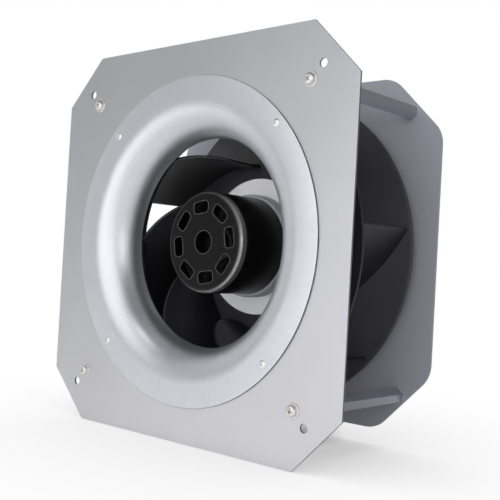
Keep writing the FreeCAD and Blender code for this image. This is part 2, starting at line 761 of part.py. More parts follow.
def motor_flange():
    """Cast bearing tube, web, electronics housing, mounting flange, ribs, lugs and board studs."""
    shoulder = "bearing_radius - tube_shoulder"
    inner = "housing_radius - housing_wall"
    body = turned(
        "motor_flange",
        ("bearing_radius", "front_bearing"),
        ("tube_radius", "front_bearing"),
        ("tube_radius", "web_front"),
        ("housing_radius", "web_front"),
        ("housing_radius", MOTOR_PLATE_FRONT + " - mount_flange_sheet"),
        (MOUNT_FLANGE_RADIUS, MOTOR_PLATE_FRONT + " - mount_flange_sheet"),
        (MOUNT_FLANGE_RADIUS, MOTOR_PLATE_FRONT),
        ("housing_radius", MOTOR_PLATE_FRONT),
        ("housing_radius", "housing_rear"),
        (inner, "housing_rear"),
        (inner, "web_front + web_sheet"),
        ("bearing_radius", "web_front + web_sheet"),
        ("bearing_radius", "rear_bearing - washer_sheet"),
        (shoulder, "rear_bearing - washer_sheet"),
        (shoulder, "front_bearing + bearing_width"),
        ("bearing_radius", "front_bearing + bearing_width"),
    )
    rib = new_sketch(body, "rib", "XY_Plane")
    root = MOTOR_PLATE_FRONT + " - mount_flange_sheet"
    inside, rib_end = "housing_radius - cast_overlap", MOUNT_FLANGE_RADIUS + " - rib_margin"
    outline(
        rib,
        (inside, root + " - rib_rise"),
        ("housing_radius", root + " - rib_rise"),
        (rib_end, root),
        (rib_end, root + " + cast_overlap"),
        (inside, root + " + cast_overlap"),
    )
    blade = pad(rib, "rib_pad", "rib_sheet", backward=False)
    blade.Midplane = True
    around(blade, "ribs", "rib_count")
    lug = new_sketch(body, "lug", "XZ_Plane", "housing_rear - lug_length")
    hole(lug, "lug_radius", *LUG_PLACE)
    around(pad(lug, "lug_pad", "lug_length"), "lugs", "4")
    stud = new_sketch(body, "stud", "XZ_Plane", "web_front + web_sheet - cast_overlap")
    hole(stud, "stud_radius", "stud_circle")
    around(pad(stud, "stud_pad", "board_depth - web_front - web_sheet + cast_overlap"), "studs", "4")
    clear = new_sketch(body, "cavity_clear", "XZ_Plane", "board_depth")
    hole(clear, inner)
    pocket(clear, "cavity_cut")
    taps = new_sketch(body, "cover_taps", "XZ_Plane", "housing_rear - cover_tap_depth")
    hole(taps, "cover_screw_radius + thread_play", *LUG_PLACE)
    around(pocket(taps, "cover_tap"), "cover_tap_ring", "4")
    board_taps = new_sketch(body, "board_taps", "XZ_Plane", "board_depth - board_tap_depth")
    hole(board_taps, "board_screw_radius + thread_play", "stud_circle")
    around(pocket(board_taps, "board_tap", "board_tap_depth"), "board_tap_ring", "4")
    mounts = new_sketch(body, "mount_taps", "XZ_Plane", root)
    diagonal = MOUNT_CIRCLE + " / sqrt(2)"
    hole(mounts, "mount_screw_radius + thread_play", diagonal, diagonal)
    around(pocket(mounts, "mount_tap", "mount_flange_sheet"), "mount_tap_ring", "4")
    gland = new_sketch(body, "gland_hole", "XY_Plane")
    hole(gland, "gland_thread + thread_play", "0", "gland_depth")
    cut = feature_of(gland, "Pocket", "gland_cut")
    cut.setExpression("Length", bound("housing_radius + lug_radius"))
    must_cut(cut)


def control_board():
    """Round circuit board on the studs of the housing."""
    body = new_body("control_board", "board_depth")
    sketch = new_sketch(body, "disc", "XZ_Plane")
    hole(sketch, BOARD_RADIUS)
    for across, up in (("1", "0"), ("-1", "0"), ("0", "1"), ("0", "-1")):
        hole(sketch, "board_screw_radius + thread_play", across + " * stud_circle", up + " * stud_circle")
    pad(sketch, "sheet", "board_sheet")


def board_capacitors():
    """Pair of upright capacitors on the board."""
    fastener_group(
        "board_capacitors", "capacitor_offset", "0", "board_depth + board_sheet",
        ("0", "0"),
        ("capacitor_radius", "0"),
        ("capacitor_radius", "capacitor_length"),
        ("0", "capacitor_length"),
        count="2",
    )


def terminal_block():
    """Connector block at the lower edge of the board, over the cable gland."""
    body = new_body("terminal_block", "board_depth + board_sheet", "0", "0", "-capacitor_offset")
    sketch = new_sketch(body, "block", "XZ_Plane")
    wide, high = "terminal_width / 2", "terminal_height / 2"
    outline(sketch, ("-" + wide, "-" + high), (wide, "-" + high), (wide, high), ("-" + wide, high))
    pad(sketch, "block_pad", "terminal_length")
    ways = new_sketch(body, "ways", "XZ_Plane", "terminal_length - terminal_way_depth")
    for way in (-1, 0, 1):
        hole(ways, "terminal_way", "%d * terminal_pitch" % way)
    pocket(ways, "ways_cut", "terminal_way_depth")


def cover_gasket():
    body = turned(
        "cover_gasket",
        ("housing_radius - housing_wall", "housing_rear"),
        ("housing_radius", "housing_rear"),
        ("housing_radius", COVER_FRONT),
        ("housing_radius - housing_wall", COVER_FRONT),
    )
    lugs = new_sketch(body, "lugs", "XZ_Plane", "housing_rear")
    hole(lugs, "lug_radius", *LUG_PLACE)
    around(pad(lugs, "lug_pad", "gasket_sheet"), "lug_ring", "4")
    holes = new_sketch(body, "holes", "XZ_Plane", "housing_rear")
    hole(holes, "cover_screw_radius + hole_play / 2", *LUG_PLACE)
    around(pocket(holes, "hole_cut", "gasket_sheet"), "hole_ring", "4")
    clear = new_sketch(body, "clear", "XZ_Plane", "housing_rear")
    hole(clear, "housing_radius - housing_wall")
    pocket(clear, "clear_cut", "gasket_sheet")


def rear_cover():
    """Round cast cover with cooling fins, closed over the electronics."""
    body = turned(
        "rear_cover",
        ("0", COVER_FRONT),
        (COVER_RADIUS, COVER_FRONT),
        (COVER_RADIUS, COVER_FRONT + " + cover_sheet - cover_edge"),
        (COVER_RADIUS + " - cover_edge", COVER_FRONT + " + cover_sheet"),
        ("0", COVER_FRONT + " + cover_sheet"),
    )
    fins = new_sketch(body, "fins", "XZ_Plane", COVER_FRONT + " + cover_sheet - fin_root")
    spread = int(value_of("fin_count")) // 2
    for row in range(-spread, spread + 1):
        across = "%d * fin_pitch" % row
        reach = "(sqrt((housing_radius - housing_wall)^2 - (%s)^2) - lug_radius)" % across
        left, right = across + " - fin_sheet / 2", across + " + fin_sheet / 2"
        outline(fins, (left, "-" + reach), (right, "-" + reach), (right, reach), (left, reach))
    pad(fins, "fin_pads", "fin_height + fin_root")
    holes = new_sketch(body, "holes", "XZ_Plane", COVER_FRONT)
    hole(holes, "cover_screw_radius + hole_play / 2", *LUG_PLACE)
    around(pocket(holes, "hole_cut"), "hole_ring", "4")
    seats = new_sketch(body, "seats", "XZ_Plane", COVER_FRONT + " + cover_sheet")
    hole(seats, "cover_screw_head + hole_play", *LUG_PLACE)
    seat = feature_of(seats, "Pocket", "seat_cut")
    seat.Type = "ThroughAll"
    around(seat, "seat_ring", "4")


def cable_gland():
    """Gland screwed into the housing's underside: thread and hexagon, and a domed nut below."""
    body = new_body("cable_gland")
    body.setExpression("Placement", gland_place())
    neck = "housing_wall + gland_neck"
    thread = new_sketch(body, "thread", "XY_Plane")
    outline(
        thread,
        ("gland_bore", "0"),
        ("gland_thread", "0"),
        ("gland_thread", neck + " + gland_hex + gland_nut_length / 2"),
        ("gland_bore", neck + " + gland_hex + gland_nut_length / 2"),
    )
    turn(thread, "barrel")
    sketch = new_sketch(body, "hexagon", "XZ_Plane", neck)
    corner = "gland_flats / sqrt(3)"
    outline(sketch, *[("%s * cos(%d)" % (corner, side * 60), "%s * sin(%d)" % (corner, side * 60))
                      for side in range(6)])
    hole(sketch, "gland_thread - hole_play")
    pad(sketch, "nut_face", "gland_hex")
    nut = new_body("gland_nut")
    nut.setExpression("Placement", gland_place(neck + " + gland_hex"))
    section = new_sketch(nut, "section", "XY_Plane")
    outline(
        section,
        ("gland_thread + thread_play", "gland_nut_gap"),
        ("gland_nut_radius", "gland_nut_gap"),
        ("gland_nut_radius", "gland_dome_start", "gland_dome_radius", "right"),
        ("gland_bore + gland_lip", "gland_nut_length"),
        ("gland_bore", "gland_nut_length"),
        ("gland_bore", "gland_seat_depth"),
        ("gland_thread + thread_play", "gland_nut_length / 2 + gland_nut_gap"),
    )
    turn(section, "dome")


def gland_place(down="0"):
    """Placement text for a piece on the gland's axis, a distance below the housing's inner wall."""
    return bound("placement(vector(0; gland_depth; -housing_radius + housing_wall - (%s)); "
                 "rotation(vector(1; 0; 0); -90))" % down)


def impeller_hub_ring():
    """Bright metal ring on the rear of the rotor cup, which the back disc is fastened to."""
    turned(
        "impeller_hub_ring",
        ("rotor_radius", "ring_front"),
        ("hub_ring_radius", "ring_front"),
        ("hub_ring_radius", "ring_front + hub_ring_sheet"),
        ("rotor_radius", "ring_front + hub_ring_sheet"),
    )


def impeller_collar():
    """Grey collar round the rotor cup, before the hub ring."""
    turned(
        "impeller_collar",
        ("rotor_radius", "collar_front"),
        ("collar_radius - collar_edge", "collar_front"),
        ("collar_radius", "collar_front + collar_edge"),
        ("collar_radius", "ring_front"),
        ("rotor_radius", "ring_front"),
    )


def impeller_back_disc():
    """Dished disc: flush with the hub ring's face, curving back to a turned lip at the rim."""
    turned(
        "impeller_back_disc",
        ("hub_ring_radius", "ring_front", "disc_bow", "left"),
        ("impeller_radius", DISC_RIM),
        ("impeller_radius", DISC_RIM + " + disc_lip"),
        ("impeller_radius - disc_sheet / 2", DISC_RIM + " + disc_lip"),
        ("impeller_radius - disc_sheet / 2", DISC_RIM + " + disc_sheet", "disc_bow", "right"),
        ("hub_ring_radius", "ring_front + hub_ring_sheet + disc_sheet"),
        ("disc_bore", "ring_front + hub_ring_sheet + disc_sheet"),
        ("disc_bore", "ring_front + hub_ring_sheet"),
        ("hub_ring_radius", "ring_front + hub_ring_sheet"),
    )


def impeller_shroud():
    """Eye collar round the nozzle's lip, a bend, and a cone out to the rim."""
    fore = "shroud_sheet / sin(shroud_angle)"
    fore_bend = "%s + shroud_sheet * cos(shroud_angle)" % SHROUD_FLARE
    turned(
        "impeller_shroud",
        (SHROUD_EYE, SHROUD_FRONT),
        (SHROUD_EYE, SHROUD_BEND, "shroud_curve", "left"),
        (SHROUD_FLARE, SHROUD_FLARE_DEPTH),
        ("impeller_radius", SHROUD_RIM_DEPTH),
        ("impeller_radius", "%s - %s" % (SHROUD_RIM_DEPTH, fore)),
        (fore_bend, "%s - shroud_sheet * sin(shroud_angle)" % SHROUD_FLARE_DEPTH,
         "shroud_curve - shroud_sheet", "right"),
        (SHROUD_EYE + " + shroud_sheet", SHROUD_BEND),
        (SHROUD_EYE + " + shroud_sheet", SHROUD_FRONT),
    )


def lead_at(depth, eye, hub, bow):
    """Radius or angle of the leading edge at a depth: a parabola from the eye to the hub."""
    run = "((%s - lead_depth_eye) / (lead_depth_hub - lead_depth_eye))" % depth
    return "(%s + (%s - %s + 4 * %s * (1 - %s)) * %s)" % (eye, hub, eye, bow, run, run)


def blade_section(body, name, depth):
    """Section of a blade across the fan axis: one arc from trailing to leading edge.

    The arc leaves the trailing edge at the exit angle, measured from the tangent, and its
    radius follows from the chord.
    """
    sketch = new_sketch(body, name, "XZ_Plane", depth)
    radius = lead_at(depth, LEAD_RADIUS_EYE, "lead_radius_hub", "-lead_radius_dip")
    angle = lead_at(depth, "lead_angle_eye", "lead_angle_hub", "lead_angle_bow")
    lead = ("%s * cos(%s)" % (radius, angle), "-%s * sin(%s)" % (radius, angle))
    tail = ("blade_radius", "0")
    chord = "((blade_radius - %s)^2 + (%s)^2)" % (lead[0], lead[1])
    offset = "(cos(blade_exit_angle) * (blade_radius - %s) + sin(blade_exit_angle) * (%s))" % lead
    bend = "(%s / (2 * %s))" % (chord, offset)
    centre = Vector(value_of("blade_radius - %s * cos(blade_exit_angle)" % bend),
                    value_of("%s * sin(blade_exit_angle)" % bend), 0)
    start = Vector(value_of(lead[0]), value_of(lead[1]), 0)
    end = Vector(value_of(tail[0]), value_of(tail[1]), 0)
    arcs = []
    for grow in ("0", "blade_sheet / 2", "-blade_sheet / 2"):
        circle = Part.Circle(centre, Vector(0, 0, 1), value_of(bend + " + " + grow))
        arc = Part.ArcOfCircle(circle, circle.parameter(start), circle.parameter(end))
        arcs.append(sketch.addGeometry(arc, grow == "0"))
        dimension(sketch, "Radius", arcs[-1], size=bend + " + " + grow)
    camber, outer, inner = arcs
    place_point(sketch, camber, 1, *lead)
    place_point(sketch, camber, 2, *tail)
    for arc in (outer, inner):
        sketch.addConstraint(Sketcher.Constraint("Coincident", arc, 3, camber, 3))
    for end_of_arc, point in ((1, start), (2, end)):
        away = (point - centre).normalize() * value_of("blade_sheet / 2")
        cap = sketch.addGeometry(Part.LineSegment(point + away, point - away), False)
        sketch.addConstraint(Sketcher.Constraint("Coincident", cap, 1, outer, end_of_arc))
        sketch.addConstraint(Sketcher.Constraint("Coincident", cap, 2, inner, end_of_arc))
        sketch.addConstraint(Sketcher.Constraint("PointOnObject", camber, end_of_arc, cap))
        sketch.addConstraint(Sketcher.Constraint("PointOnObject", camber, 3, cap))
    return sketch


def impeller_blade(number):
    """One blade: sections lofted along the axis, trimmed by the shroud and the back disc."""
    body = new_body("impeller_blade_%d" % number, angle="blade_angle + %d * 360 / blade_count" % (number - 1))
    first, last = SHROUD_FRONT, DISC_RIM + " + disc_lip"
    span = "(%s + (%s - %s) * %d / %d)"
    sections = [blade_section(body, "section_%d" % step, span % (first, last, first, step, BLADE_STEPS))
                for step in range(BLADE_STEPS + 1)]
    loft = feature_of(sections[0], "AdditiveLoft", "loft")
    loft.Sections = sections[1:]
    trim = new_sketch(body, "trim", "XY_Plane")
    past = "impeller_radius + trim_margin"
    outline(
        trim,
        (SHROUD_EYE, SHROUD_FRONT + " - trim_margin"),
        (SHROUD_EYE, SHROUD_BEND, "shroud_curve", "left"),
        (SHROUD_FLARE, SHROUD_FLARE_DEPTH),
        ("impeller_radius", SHROUD_RIM_DEPTH),
        (past, SHROUD_RIM_DEPTH),
        (past, SHROUD_FRONT + " - trim_margin"),
    )
    outline(
        trim,
        ("collar_radius", "ring_front"),
        ("hub_ring_radius", "ring_front", "disc_bow", "left"),
        ("impeller_radius", DISC_RIM),
        (past, DISC_RIM),
        (past, DISC_RIM + " + 2 * trim_margin"),
        ("collar_radius", DISC_RIM + " + 2 * trim_margin"),
    )
    groove(trim, "trimmed")


def build():
    inlet_plate()
    inlet_nozzle()
    nozzle_rivets()
    corners = (("top_right", 1, 1), ("top_left", -1, 1), ("bottom_left", -1, -1), ("bottom_right", 1, -1))
    for name, across, up in corners:
        spacer_post("spacer_post_" + name, across, up)
    post_screw = ("post_thread_radius", "screw_head_radius", "screw_head_height")
    post_circle = POST_SPACING + " / sqrt(2)"
    fastener_group("front_post_screws", post_circle, "45", "0", *pan_screw(*post_screw, "screw_length"))
    fastener_group("rear_post_screws", post_circle, "45", MOTOR_PLATE_REAR,
                   *pan_screw(*post_screw, "screw_length", rearward=False))
    motor_plate()
    rotor_cup()
    rotor_hub()
    rotor_shaft()
    rotor_magnets()
    stator_star("stator_core", "stack_front", "stack_rear - stack_front")
    stator_star("front_stator_insulator", "stack_front - insulator_sheet", "insulator_sheet")
    stator_star("rear_stator_insulator", "stack_rear", "insulator_sheet")
    stator_coils()
    bearing("front_bearing", "front_bearing")
    bearing("rear_bearing", "rear_bearing")
    preload_washer()
    shaft_retaining_ring()
    motor_flange()
    fastener_group("motor_flange_screws", MOUNT_CIRCLE, "45", MOTOR_PLATE_REAR,
                   *pan_screw("mount_screw_radius", "mount_screw_head", "mount_screw_height",
                              "rear_sheet + mount_flange_sheet", rearward=False))
    control_board()
    fastener_group("board_screws", "stud_circle", "0", "board_depth + board_sheet",
                   *pan_screw("board_screw_radius", "board_screw_head", "board_screw_height",
                              "board_sheet + board_screw_reach", rearward=False))
    board_capacitors()
    terminal_block()
    cover_gasket()
    rear_cover()
    fastener_group("cover_screws", "housing_radius", "lug_angle", COVER_FRONT + " + cover_sheet",
                   *pan_screw("cover_screw_radius", "cover_screw_head", "cover_screw_height",
                              "cover_screw_length", rearward=False))
    cable_gland()
    impeller_collar()
    impeller_hub_ring()
    impeller_back_disc()
    for number in range(1, int(value_of("blade_count")) + 1):
        impeller_blade(number)
    impeller_shroud()
    doc.recompute()


def export():
    """Check every object, then write each body to its own file."""
    failed = [item.Name for item in doc.Objects if {"Invalid", "Error"} & set(item.State)]
    if failed:
        raise RuntimeError("failed: " + ", ".join(failed))
    bodies = [item for item in doc.Objects if item.isDerivedFrom("PartDesign::Body")]
    for body in bodies:
        if body.Shape.isNull() or not body.Shape.isValid() or not body.Shape.Solids:
            raise RuntimeError(body.Label + " has no valid solid")
    os.makedirs("parts", exist_ok=True)
    for body in bodies:
        body.Shape.exportStep("parts/%s.step" % body.Label)
        print("%-28s %2d solids %12.1f mm3" % (body.Label, len(body.Shape.Solids), body.Shape.Volume))


sheet = size_sheet()
build()
export()
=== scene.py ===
"""Looks of a plug fan: its finishes, its rounded and detailed pieces, and the studio round it.

Lengths are in metres unless a name says otherwise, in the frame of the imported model: +Y runs along
the fan axis from the inlet to the rear, +Z up, and +X to the right as seen from the inlet.
Distances along Y are called depth. A profile is a row of (radius, depth) points.
"""
import json
import logging
import math
from dataclasses import dataclass
from enum import Enum
from typing import Callable, Optional, Sequence

import bmesh
import bpy
import numpy as np
from mathutils import Matrix, Vector


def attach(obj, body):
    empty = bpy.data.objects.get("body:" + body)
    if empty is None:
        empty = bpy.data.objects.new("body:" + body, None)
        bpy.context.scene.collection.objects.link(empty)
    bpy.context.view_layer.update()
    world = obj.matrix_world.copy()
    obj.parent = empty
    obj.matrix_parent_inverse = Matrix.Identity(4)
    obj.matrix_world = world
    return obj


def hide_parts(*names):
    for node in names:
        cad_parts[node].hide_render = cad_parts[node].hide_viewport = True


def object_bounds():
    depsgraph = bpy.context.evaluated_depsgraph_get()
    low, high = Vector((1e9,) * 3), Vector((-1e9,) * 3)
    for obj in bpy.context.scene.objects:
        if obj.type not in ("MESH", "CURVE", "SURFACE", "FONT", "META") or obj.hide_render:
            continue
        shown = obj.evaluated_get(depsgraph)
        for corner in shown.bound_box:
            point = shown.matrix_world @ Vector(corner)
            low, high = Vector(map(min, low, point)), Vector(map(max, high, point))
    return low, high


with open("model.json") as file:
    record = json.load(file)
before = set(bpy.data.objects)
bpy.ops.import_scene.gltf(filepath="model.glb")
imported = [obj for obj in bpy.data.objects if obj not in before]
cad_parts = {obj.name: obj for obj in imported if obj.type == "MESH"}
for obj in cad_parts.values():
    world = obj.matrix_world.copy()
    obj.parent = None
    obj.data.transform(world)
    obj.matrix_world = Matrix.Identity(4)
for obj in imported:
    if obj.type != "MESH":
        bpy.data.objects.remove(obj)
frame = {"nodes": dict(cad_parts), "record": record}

log = logging.getLogger("plug_fan")

MM = 0.001
FULL_TURN = 2 * math.pi
SHARP_EDGE = math.radians(38)  # edges that turn by more than this stay crisp
WELD = 1e-6  # points nearer than this are one
CORNER_STEPS = 5  # points on each rounded corner of a profile
CAD_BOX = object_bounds()
Colour = tuple[float, float, float]
Point = tuple[float, float, float]
Socket = bpy.types.NodeSocket
Tree = bpy.types.NodeTree


class Body(Enum):
    """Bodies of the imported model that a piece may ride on."""

    FRAME = "fan_frame"
    ROTOR = "rotor"


class Pattern(Enum):
    """What the eye finds in a finish when it comes close."""

    # rolled sheets also carry a broad painted light gradient across the fan
    ROLLED = "rolled_grain"
    SPUN = "spun_rings"
    GRAINY = "fine_grain"
    WOUND = "wound_wire"


class Graph:
    """A node tree with short ways to add nodes and join them."""

    def __init__(self, tree: Tree) -> None:
        """Keep the tree that nodes are added to: a material's, a world's or a group's."""
        self.tree = tree

    @classmethod
    def fresh(cls, owner: bpy.types.ID) -> "Graph":
        """Empty the node tree of a material or a world.

        Args:
            owner: the material or world.

        Returns:
            The tree's graph.
        """
        owner.use_nodes = True
        owner.node_tree.nodes.clear()
        return cls(owner.node_tree)

    def add(self, kind: str, **inputs: object) -> bpy.types.Node:
        """Add a node and set or join its inputs, whose names have underscores for spaces."""
        return self.fill(self.tree.nodes.new(kind), inputs)

    def fill(self, node: bpy.types.Node, inputs: dict[str, object]) -> bpy.types.Node:
        """Set or join a node's inputs by their names.

        Args:
            node: any node of the tree.
            inputs: socket names, with underscores for spaces, and a value or another socket.

        Returns:
            The same node.
        """
        for name, value in inputs.items():
            self.feed(node.inputs[name.replace("_", " ")], value)
        return node

    def use(self, group: Tree, **inputs: object) -> bpy.types.Node:
        """Add a node that stands for a group, and set or join its inputs.

        Args:
            group: the group's tree.
            inputs: as for fill.

        Returns:
            The new node.
        """
        node = self.add("ShaderNodeGroup")
        node.node_tree = group
        return self.fill(node, inputs)

    def feed(self, socket: Socket, value: object) -> None:
        """Join a socket to another, or set its plain value.

        Args:
            socket: an input.
            value: an output or a plain value.
        """
        if isinstance(value, Socket):
            self.tree.links.new(value, socket)
        else:
            socket.default_value = value

    def math(self, operation: str, *values: object) -> Socket:
        """Work out one value from numbers or sockets, in the order of the node's inputs."""
        return self.operate("ShaderNodeMath", operation, *values).outputs[0]

    def vector_math(self, operation: str, *values: object) -> bpy.types.Node:
        """Work on vectors and give the node, whose output depends on the operation."""
        return self.operate("ShaderNodeVectorMath", operation, *values)

    def operate(self, kind: str, operation: str, *values: object) -> bpy.types.Node:
        """Add a math node and feed its inputs in order.

        Args:
            kind: the node's type name.
            operation: the name of its operation.
            values: values or sockets, in the order of the node's inputs.

        Returns:
            The new node.
        """
        node = self.add(kind)
        node.operation = operation
        for socket, value in zip(node.inputs, values):
            self.feed(socket, value)
        return node

    def blend(self, share: object, first: object, second: object) -> Socket:
        """Mix two colours.

        Args:
            share: how much of the second colour, from 0 to 1.
            first: the colour at share 0.
            second: the colour at share 1.

        Returns:
            The mixed colour's socket.
        """
        node = self.add("ShaderNodeMix")
        node.data_type = "RGBA"
        self.feed(node.inputs["Factor"], share)
        self.feed(node.inputs[6], first)
        self.feed(node.inputs[7], second)
        return node.outputs[2]

    def ramp(self, value: object, start: object, end: object, low: object = 0.0,
             high: object = 1.0) -> Socket:
        """Carry the range from start to end over to that from low to high, and hold it outside."""
        ends = dict(From_Min=start, From_Max=end, To_Min=low, To_Max=high)
        return self.add("ShaderNodeMapRange", Value=value, **ends).outputs["Result"]

    def weighted(self, *terms: tuple[object, float]) -> Socket:
        """Add values up by their shares.

        Args:
            terms: each value and its share.

        Returns:
            The sum's socket.
        """
        total = self.math("MULTIPLY", *terms[0])
        for term in terms[1:]:
            total = self.math("ADD", total, self.math("MULTIPLY", *term))
        return total

    def noise(self, place: object, scale: object, detail: float = 2.0) -> Socket:
        """Noise with a few octaves, from 0 to 1."""
        return self.add("ShaderNodeTexNoise", Vector=place, Scale=scale, Detail=detail).outputs[0]

    def place(self) -> Socket:
        """Object coordinates."""
        return self.add("ShaderNodeTexCoord").outputs["Object"]

    def part(self, vector: object, axis: str) -> Socket:
        """One part of a vector, by its axis: X, Y or Z."""
        return self.add("ShaderNodeSeparateXYZ", Vector=vector).outputs[axis]

    def radius(self, place: object) -> Socket:
        """Distance from the fan axis: the length of the place with its depth left out."""
        flat = self.vector_math("MULTIPLY", place, (1.0, 0.0, 1.0)).outputs[0]
        return self.vector_math("LENGTH", flat).outputs["Value"]


def show(name: str, data: bpy.types.ID) -> bpy.types.Object:
    """Put an object into the scene.

    Args:
        name: the object's name.
        data: its mesh, lamp or camera.

    Returns:
        The new object.
    """
    made = bpy.data.objects.new(name, data)
    bpy.context.scene.collection.objects.link(made)
    return made


def new_group(name: str, inputs: Sequence[str], outputs: dict[str, str]) -> Graph:
    """Start a shader node group.

    Args:
        name: of the group.
        inputs: names of its inputs, all plain numbers.
        outputs: names of its outputs, and whether each is a Float or a Vector.

    Returns:
        The group's graph, to be filled.
    """
    tree = bpy.data.node_groups.new(name, "ShaderNodeTree")
    for label in inputs:
        tree.interface.new_socket(name=label, in_out="INPUT", socket_type="NodeSocketFloat")
    for label, kind in outputs.items():
        tree.interface.new_socket(name=label, in_out="OUTPUT", socket_type="NodeSocket" + kind)
    return Graph(tree)


class PatternGroup:
    """A shader node group that puts out a shade from 0 to 1 and a normal for its relief."""

    streak = (1.0, 1.0, 0.025)  # noise on a place scaled like this is drawn out forty times along Z
    painted_light_way = (0.35, 0.0, -1.0)  # direction in which the painted light gradient grows lighter, towards the lower right
    painted_light_reach = 0.2  # from the fan axis, either way
    rolled_and_painted_light_shares = (0.10, 0.26, 0.64)  # of streaks, clouds and the painted light gradient
    spun_shares = (0.42, 0.26, 0.32)  # of rings, clouds and wipe marks
    grain_shares = (0.7, 0.3)  # of fine grain and clouds
    zinc_clouds, spun_clouds, grain_clouds = 9.0, 14.0, 22.0  # their noise's scales
    wipe_turn, wipe_scale = 0.9, 60.0  # the noise of wipe marks runs this far for each radian
    streak_detail, ring_detail, wipe_detail, grain_detail = 3.0, 4.0, 3.0, 5.0  # octaves of each noise

    @classmethod
    def of(cls, pattern: Pattern) -> Tree:
        """Build a pattern's group on first use, and give it again later.

        Args:
            pattern: which height field the group works out.

        Returns:
            A group with the inputs Scale and Relief and the outputs Shade and Normal.
        """
        known = bpy.data.node_groups.get(pattern.value)
        if known:
            return known
        graph = new_group(pattern.value, ("Scale", "Relief"), {"Shade": "Float", "Normal": "Vector"})
        given = graph.add("NodeGroupInput").outputs
        heights = {
            Pattern.ROLLED: cls.rolled,
            Pattern.SPUN: cls.spun,
            Pattern.GRAINY: cls.grainy,
            Pattern.WOUND: cls.wound,
        }
        height = heights[pattern](graph, graph.place(), given["Scale"])
        bump = graph.add("ShaderNodeBump", Strength=1.0, Distance=given["Relief"], Height=height)
        graph.add("NodeGroupOutput", Shade=height, Normal=bump.outputs["Normal"])
        return graph.tree

    @classmethod
    def rolled(cls, graph: Graph, place: object, scale: object) -> Socket:
        """Streaks along Z and clouds, over a painted light gradient across the sheet.

        The painted light gradient follows the distance along one direction across the fan.

        Args:
            graph: the group's graph.
            place: Object coordinates.
            scale: of the streaks.

        Returns:
            The shade's socket.
        """
        drawn = graph.vector_math("MULTIPLY", place, cls.streak).outputs[0]
        across = graph.vector_math("DOT_PRODUCT", place, cls.painted_light_way).outputs["Value"]
        painted_gradient = graph.ramp(across, -cls.painted_light_reach, cls.painted_light_reach)
        looks = (graph.noise(drawn, scale, cls.streak_detail), graph.noise(place, cls.zinc_clouds), painted_gradient)
        return graph.weighted(*zip(looks, cls.rolled_and_painted_light_shares))

    @classmethod
    def spun(cls, graph: Graph, place: object, scale: object) -> Socket:
        """Rings about the fan axis, with clouds over them and wipe marks that run outwards.

        Rings are noise over the distance from the axis and the depth, and wipe marks are noise
        over the angle as well.

        Args:
            graph: the group's graph.
            place: Object coordinates.
            scale: of the rings.

        Returns:
            The shade's socket.
        """
        radius, depth = graph.radius(place), graph.part(place, "Y")
        turn = graph.math("ARCTAN2", graph.part(place, "X"), graph.part(place, "Z"))
        angle = graph.math("MULTIPLY", turn, cls.wipe_turn)
        across = graph.add("ShaderNodeCombineXYZ", X=radius, Y=depth, Z=0.0).outputs[0]
        wiped = graph.add("ShaderNodeCombineXYZ", X=angle, Y=radius, Z=depth).outputs[0]
        looks = (graph.noise(across, scale, cls.ring_detail), graph.noise(place, cls.spun_clouds),
                 graph.noise(wiped, cls.wipe_scale, cls.wipe_detail))
        return graph.weighted(*zip(looks, cls.spun_shares))

    @classmethod
    def grainy(cls, graph: Graph, place: object, scale: object) -> Socket:
        """Even grain with a broader unevenness under it."""
        looks = (graph.noise(place, scale, cls.grain_detail), graph.noise(place, cls.grain_clouds))
        return graph.weighted(*zip(looks, cls.grain_shares))

    @classmethod
    def wound(cls, graph: Graph, place: object, scale: object) -> Socket:
        """Turns of wire side by side: a rounded wave of the distance from the fan axis."""
        phase = graph.math("MULTIPLY", graph.radius(place), graph.math("MULTIPLY", scale, FULL_TURN))
        return graph.math("ABSOLUTE", graph.math("SINE", phase))


@dataclass(frozen=True)
class EdgeWearAndPaintedLight:
    """A coloured ring on a turned edge about the fan axis, strongest on the lower right. On the
    rotor cup it is partly bare metal where the coat is rubbed thin and partly a painted highlight;
    on the nozzle's flange rim it is a dark line of painted shade.

    The ring grows from the radius start to the radius full, and from end_depth to full_depth.
    """

    start: float
    full: float
    end_depth: float
    full_depth: float
    colour: Colour
    metallic: float

    group = "edge_wear_and_painted_light"
    painted_light_side = (0.87, 0.0, -0.5)  # the side where the ring is strongest, the lower right: painted highlight on the rotor, painted shade on the nozzle
    rubbed_from, rubbed_to = -0.01, 0.045  # where the ring grows along that way
    least = 0.15  # how strong the ring is on the other side
    patches = 160.0  # scale of the noise that breaks it up
    patchy = (0.6, 1.2)  # least and greatest factor of that noise

    def mask(self, graph: Graph) -> Socket:
        """Place the group that puts out how strong the edge ring is, from 0 to 1.

        It is the product of three ramps, over the distance from the fan axis, over the depth and
        across the fan towards the lower right, where its painted highlight and shade are strongest,
        broken up by noise.

        Args:
            graph: the material's graph.

        Returns:
            The mask's socket.
        """
        tree = bpy.data.node_groups.get(self.group)
        if not tree:
            inside = new_group(self.group, ("Start", "Full", "End Depth", "Full Depth"), {"Bare": "Float"})
            given = inside.add("NodeGroupInput").outputs
            place = inside.place()
            across = inside.vector_math("DOT_PRODUCT", place, self.painted_light_side).outputs["Value"]
            wear_and_light_mask = inside.ramp(inside.radius(place), given["Start"], given["Full"])
            for factor in (inside.ramp(inside.part(place, "Y"), given["End Depth"], given["Full Depth"]),
                           inside.ramp(inside.noise(place, self.patches), 0.0, 1.0, *self.patchy),
                           inside.ramp(across, self.rubbed_from, self.rubbed_to, self.least)):
                wear_and_light_mask = inside.math("MULTIPLY", wear_and_light_mask, factor)
            inside.add("NodeGroupOutput", Bare=inside.math("MINIMUM", wear_and_light_mask, 1.0))
            tree = inside.tree
        depths = dict(End_Depth=self.end_depth, Full_Depth=self.full_depth)
        return graph.use(tree, Start=self.start, Full=self.full, **depths).outputs["Bare"]


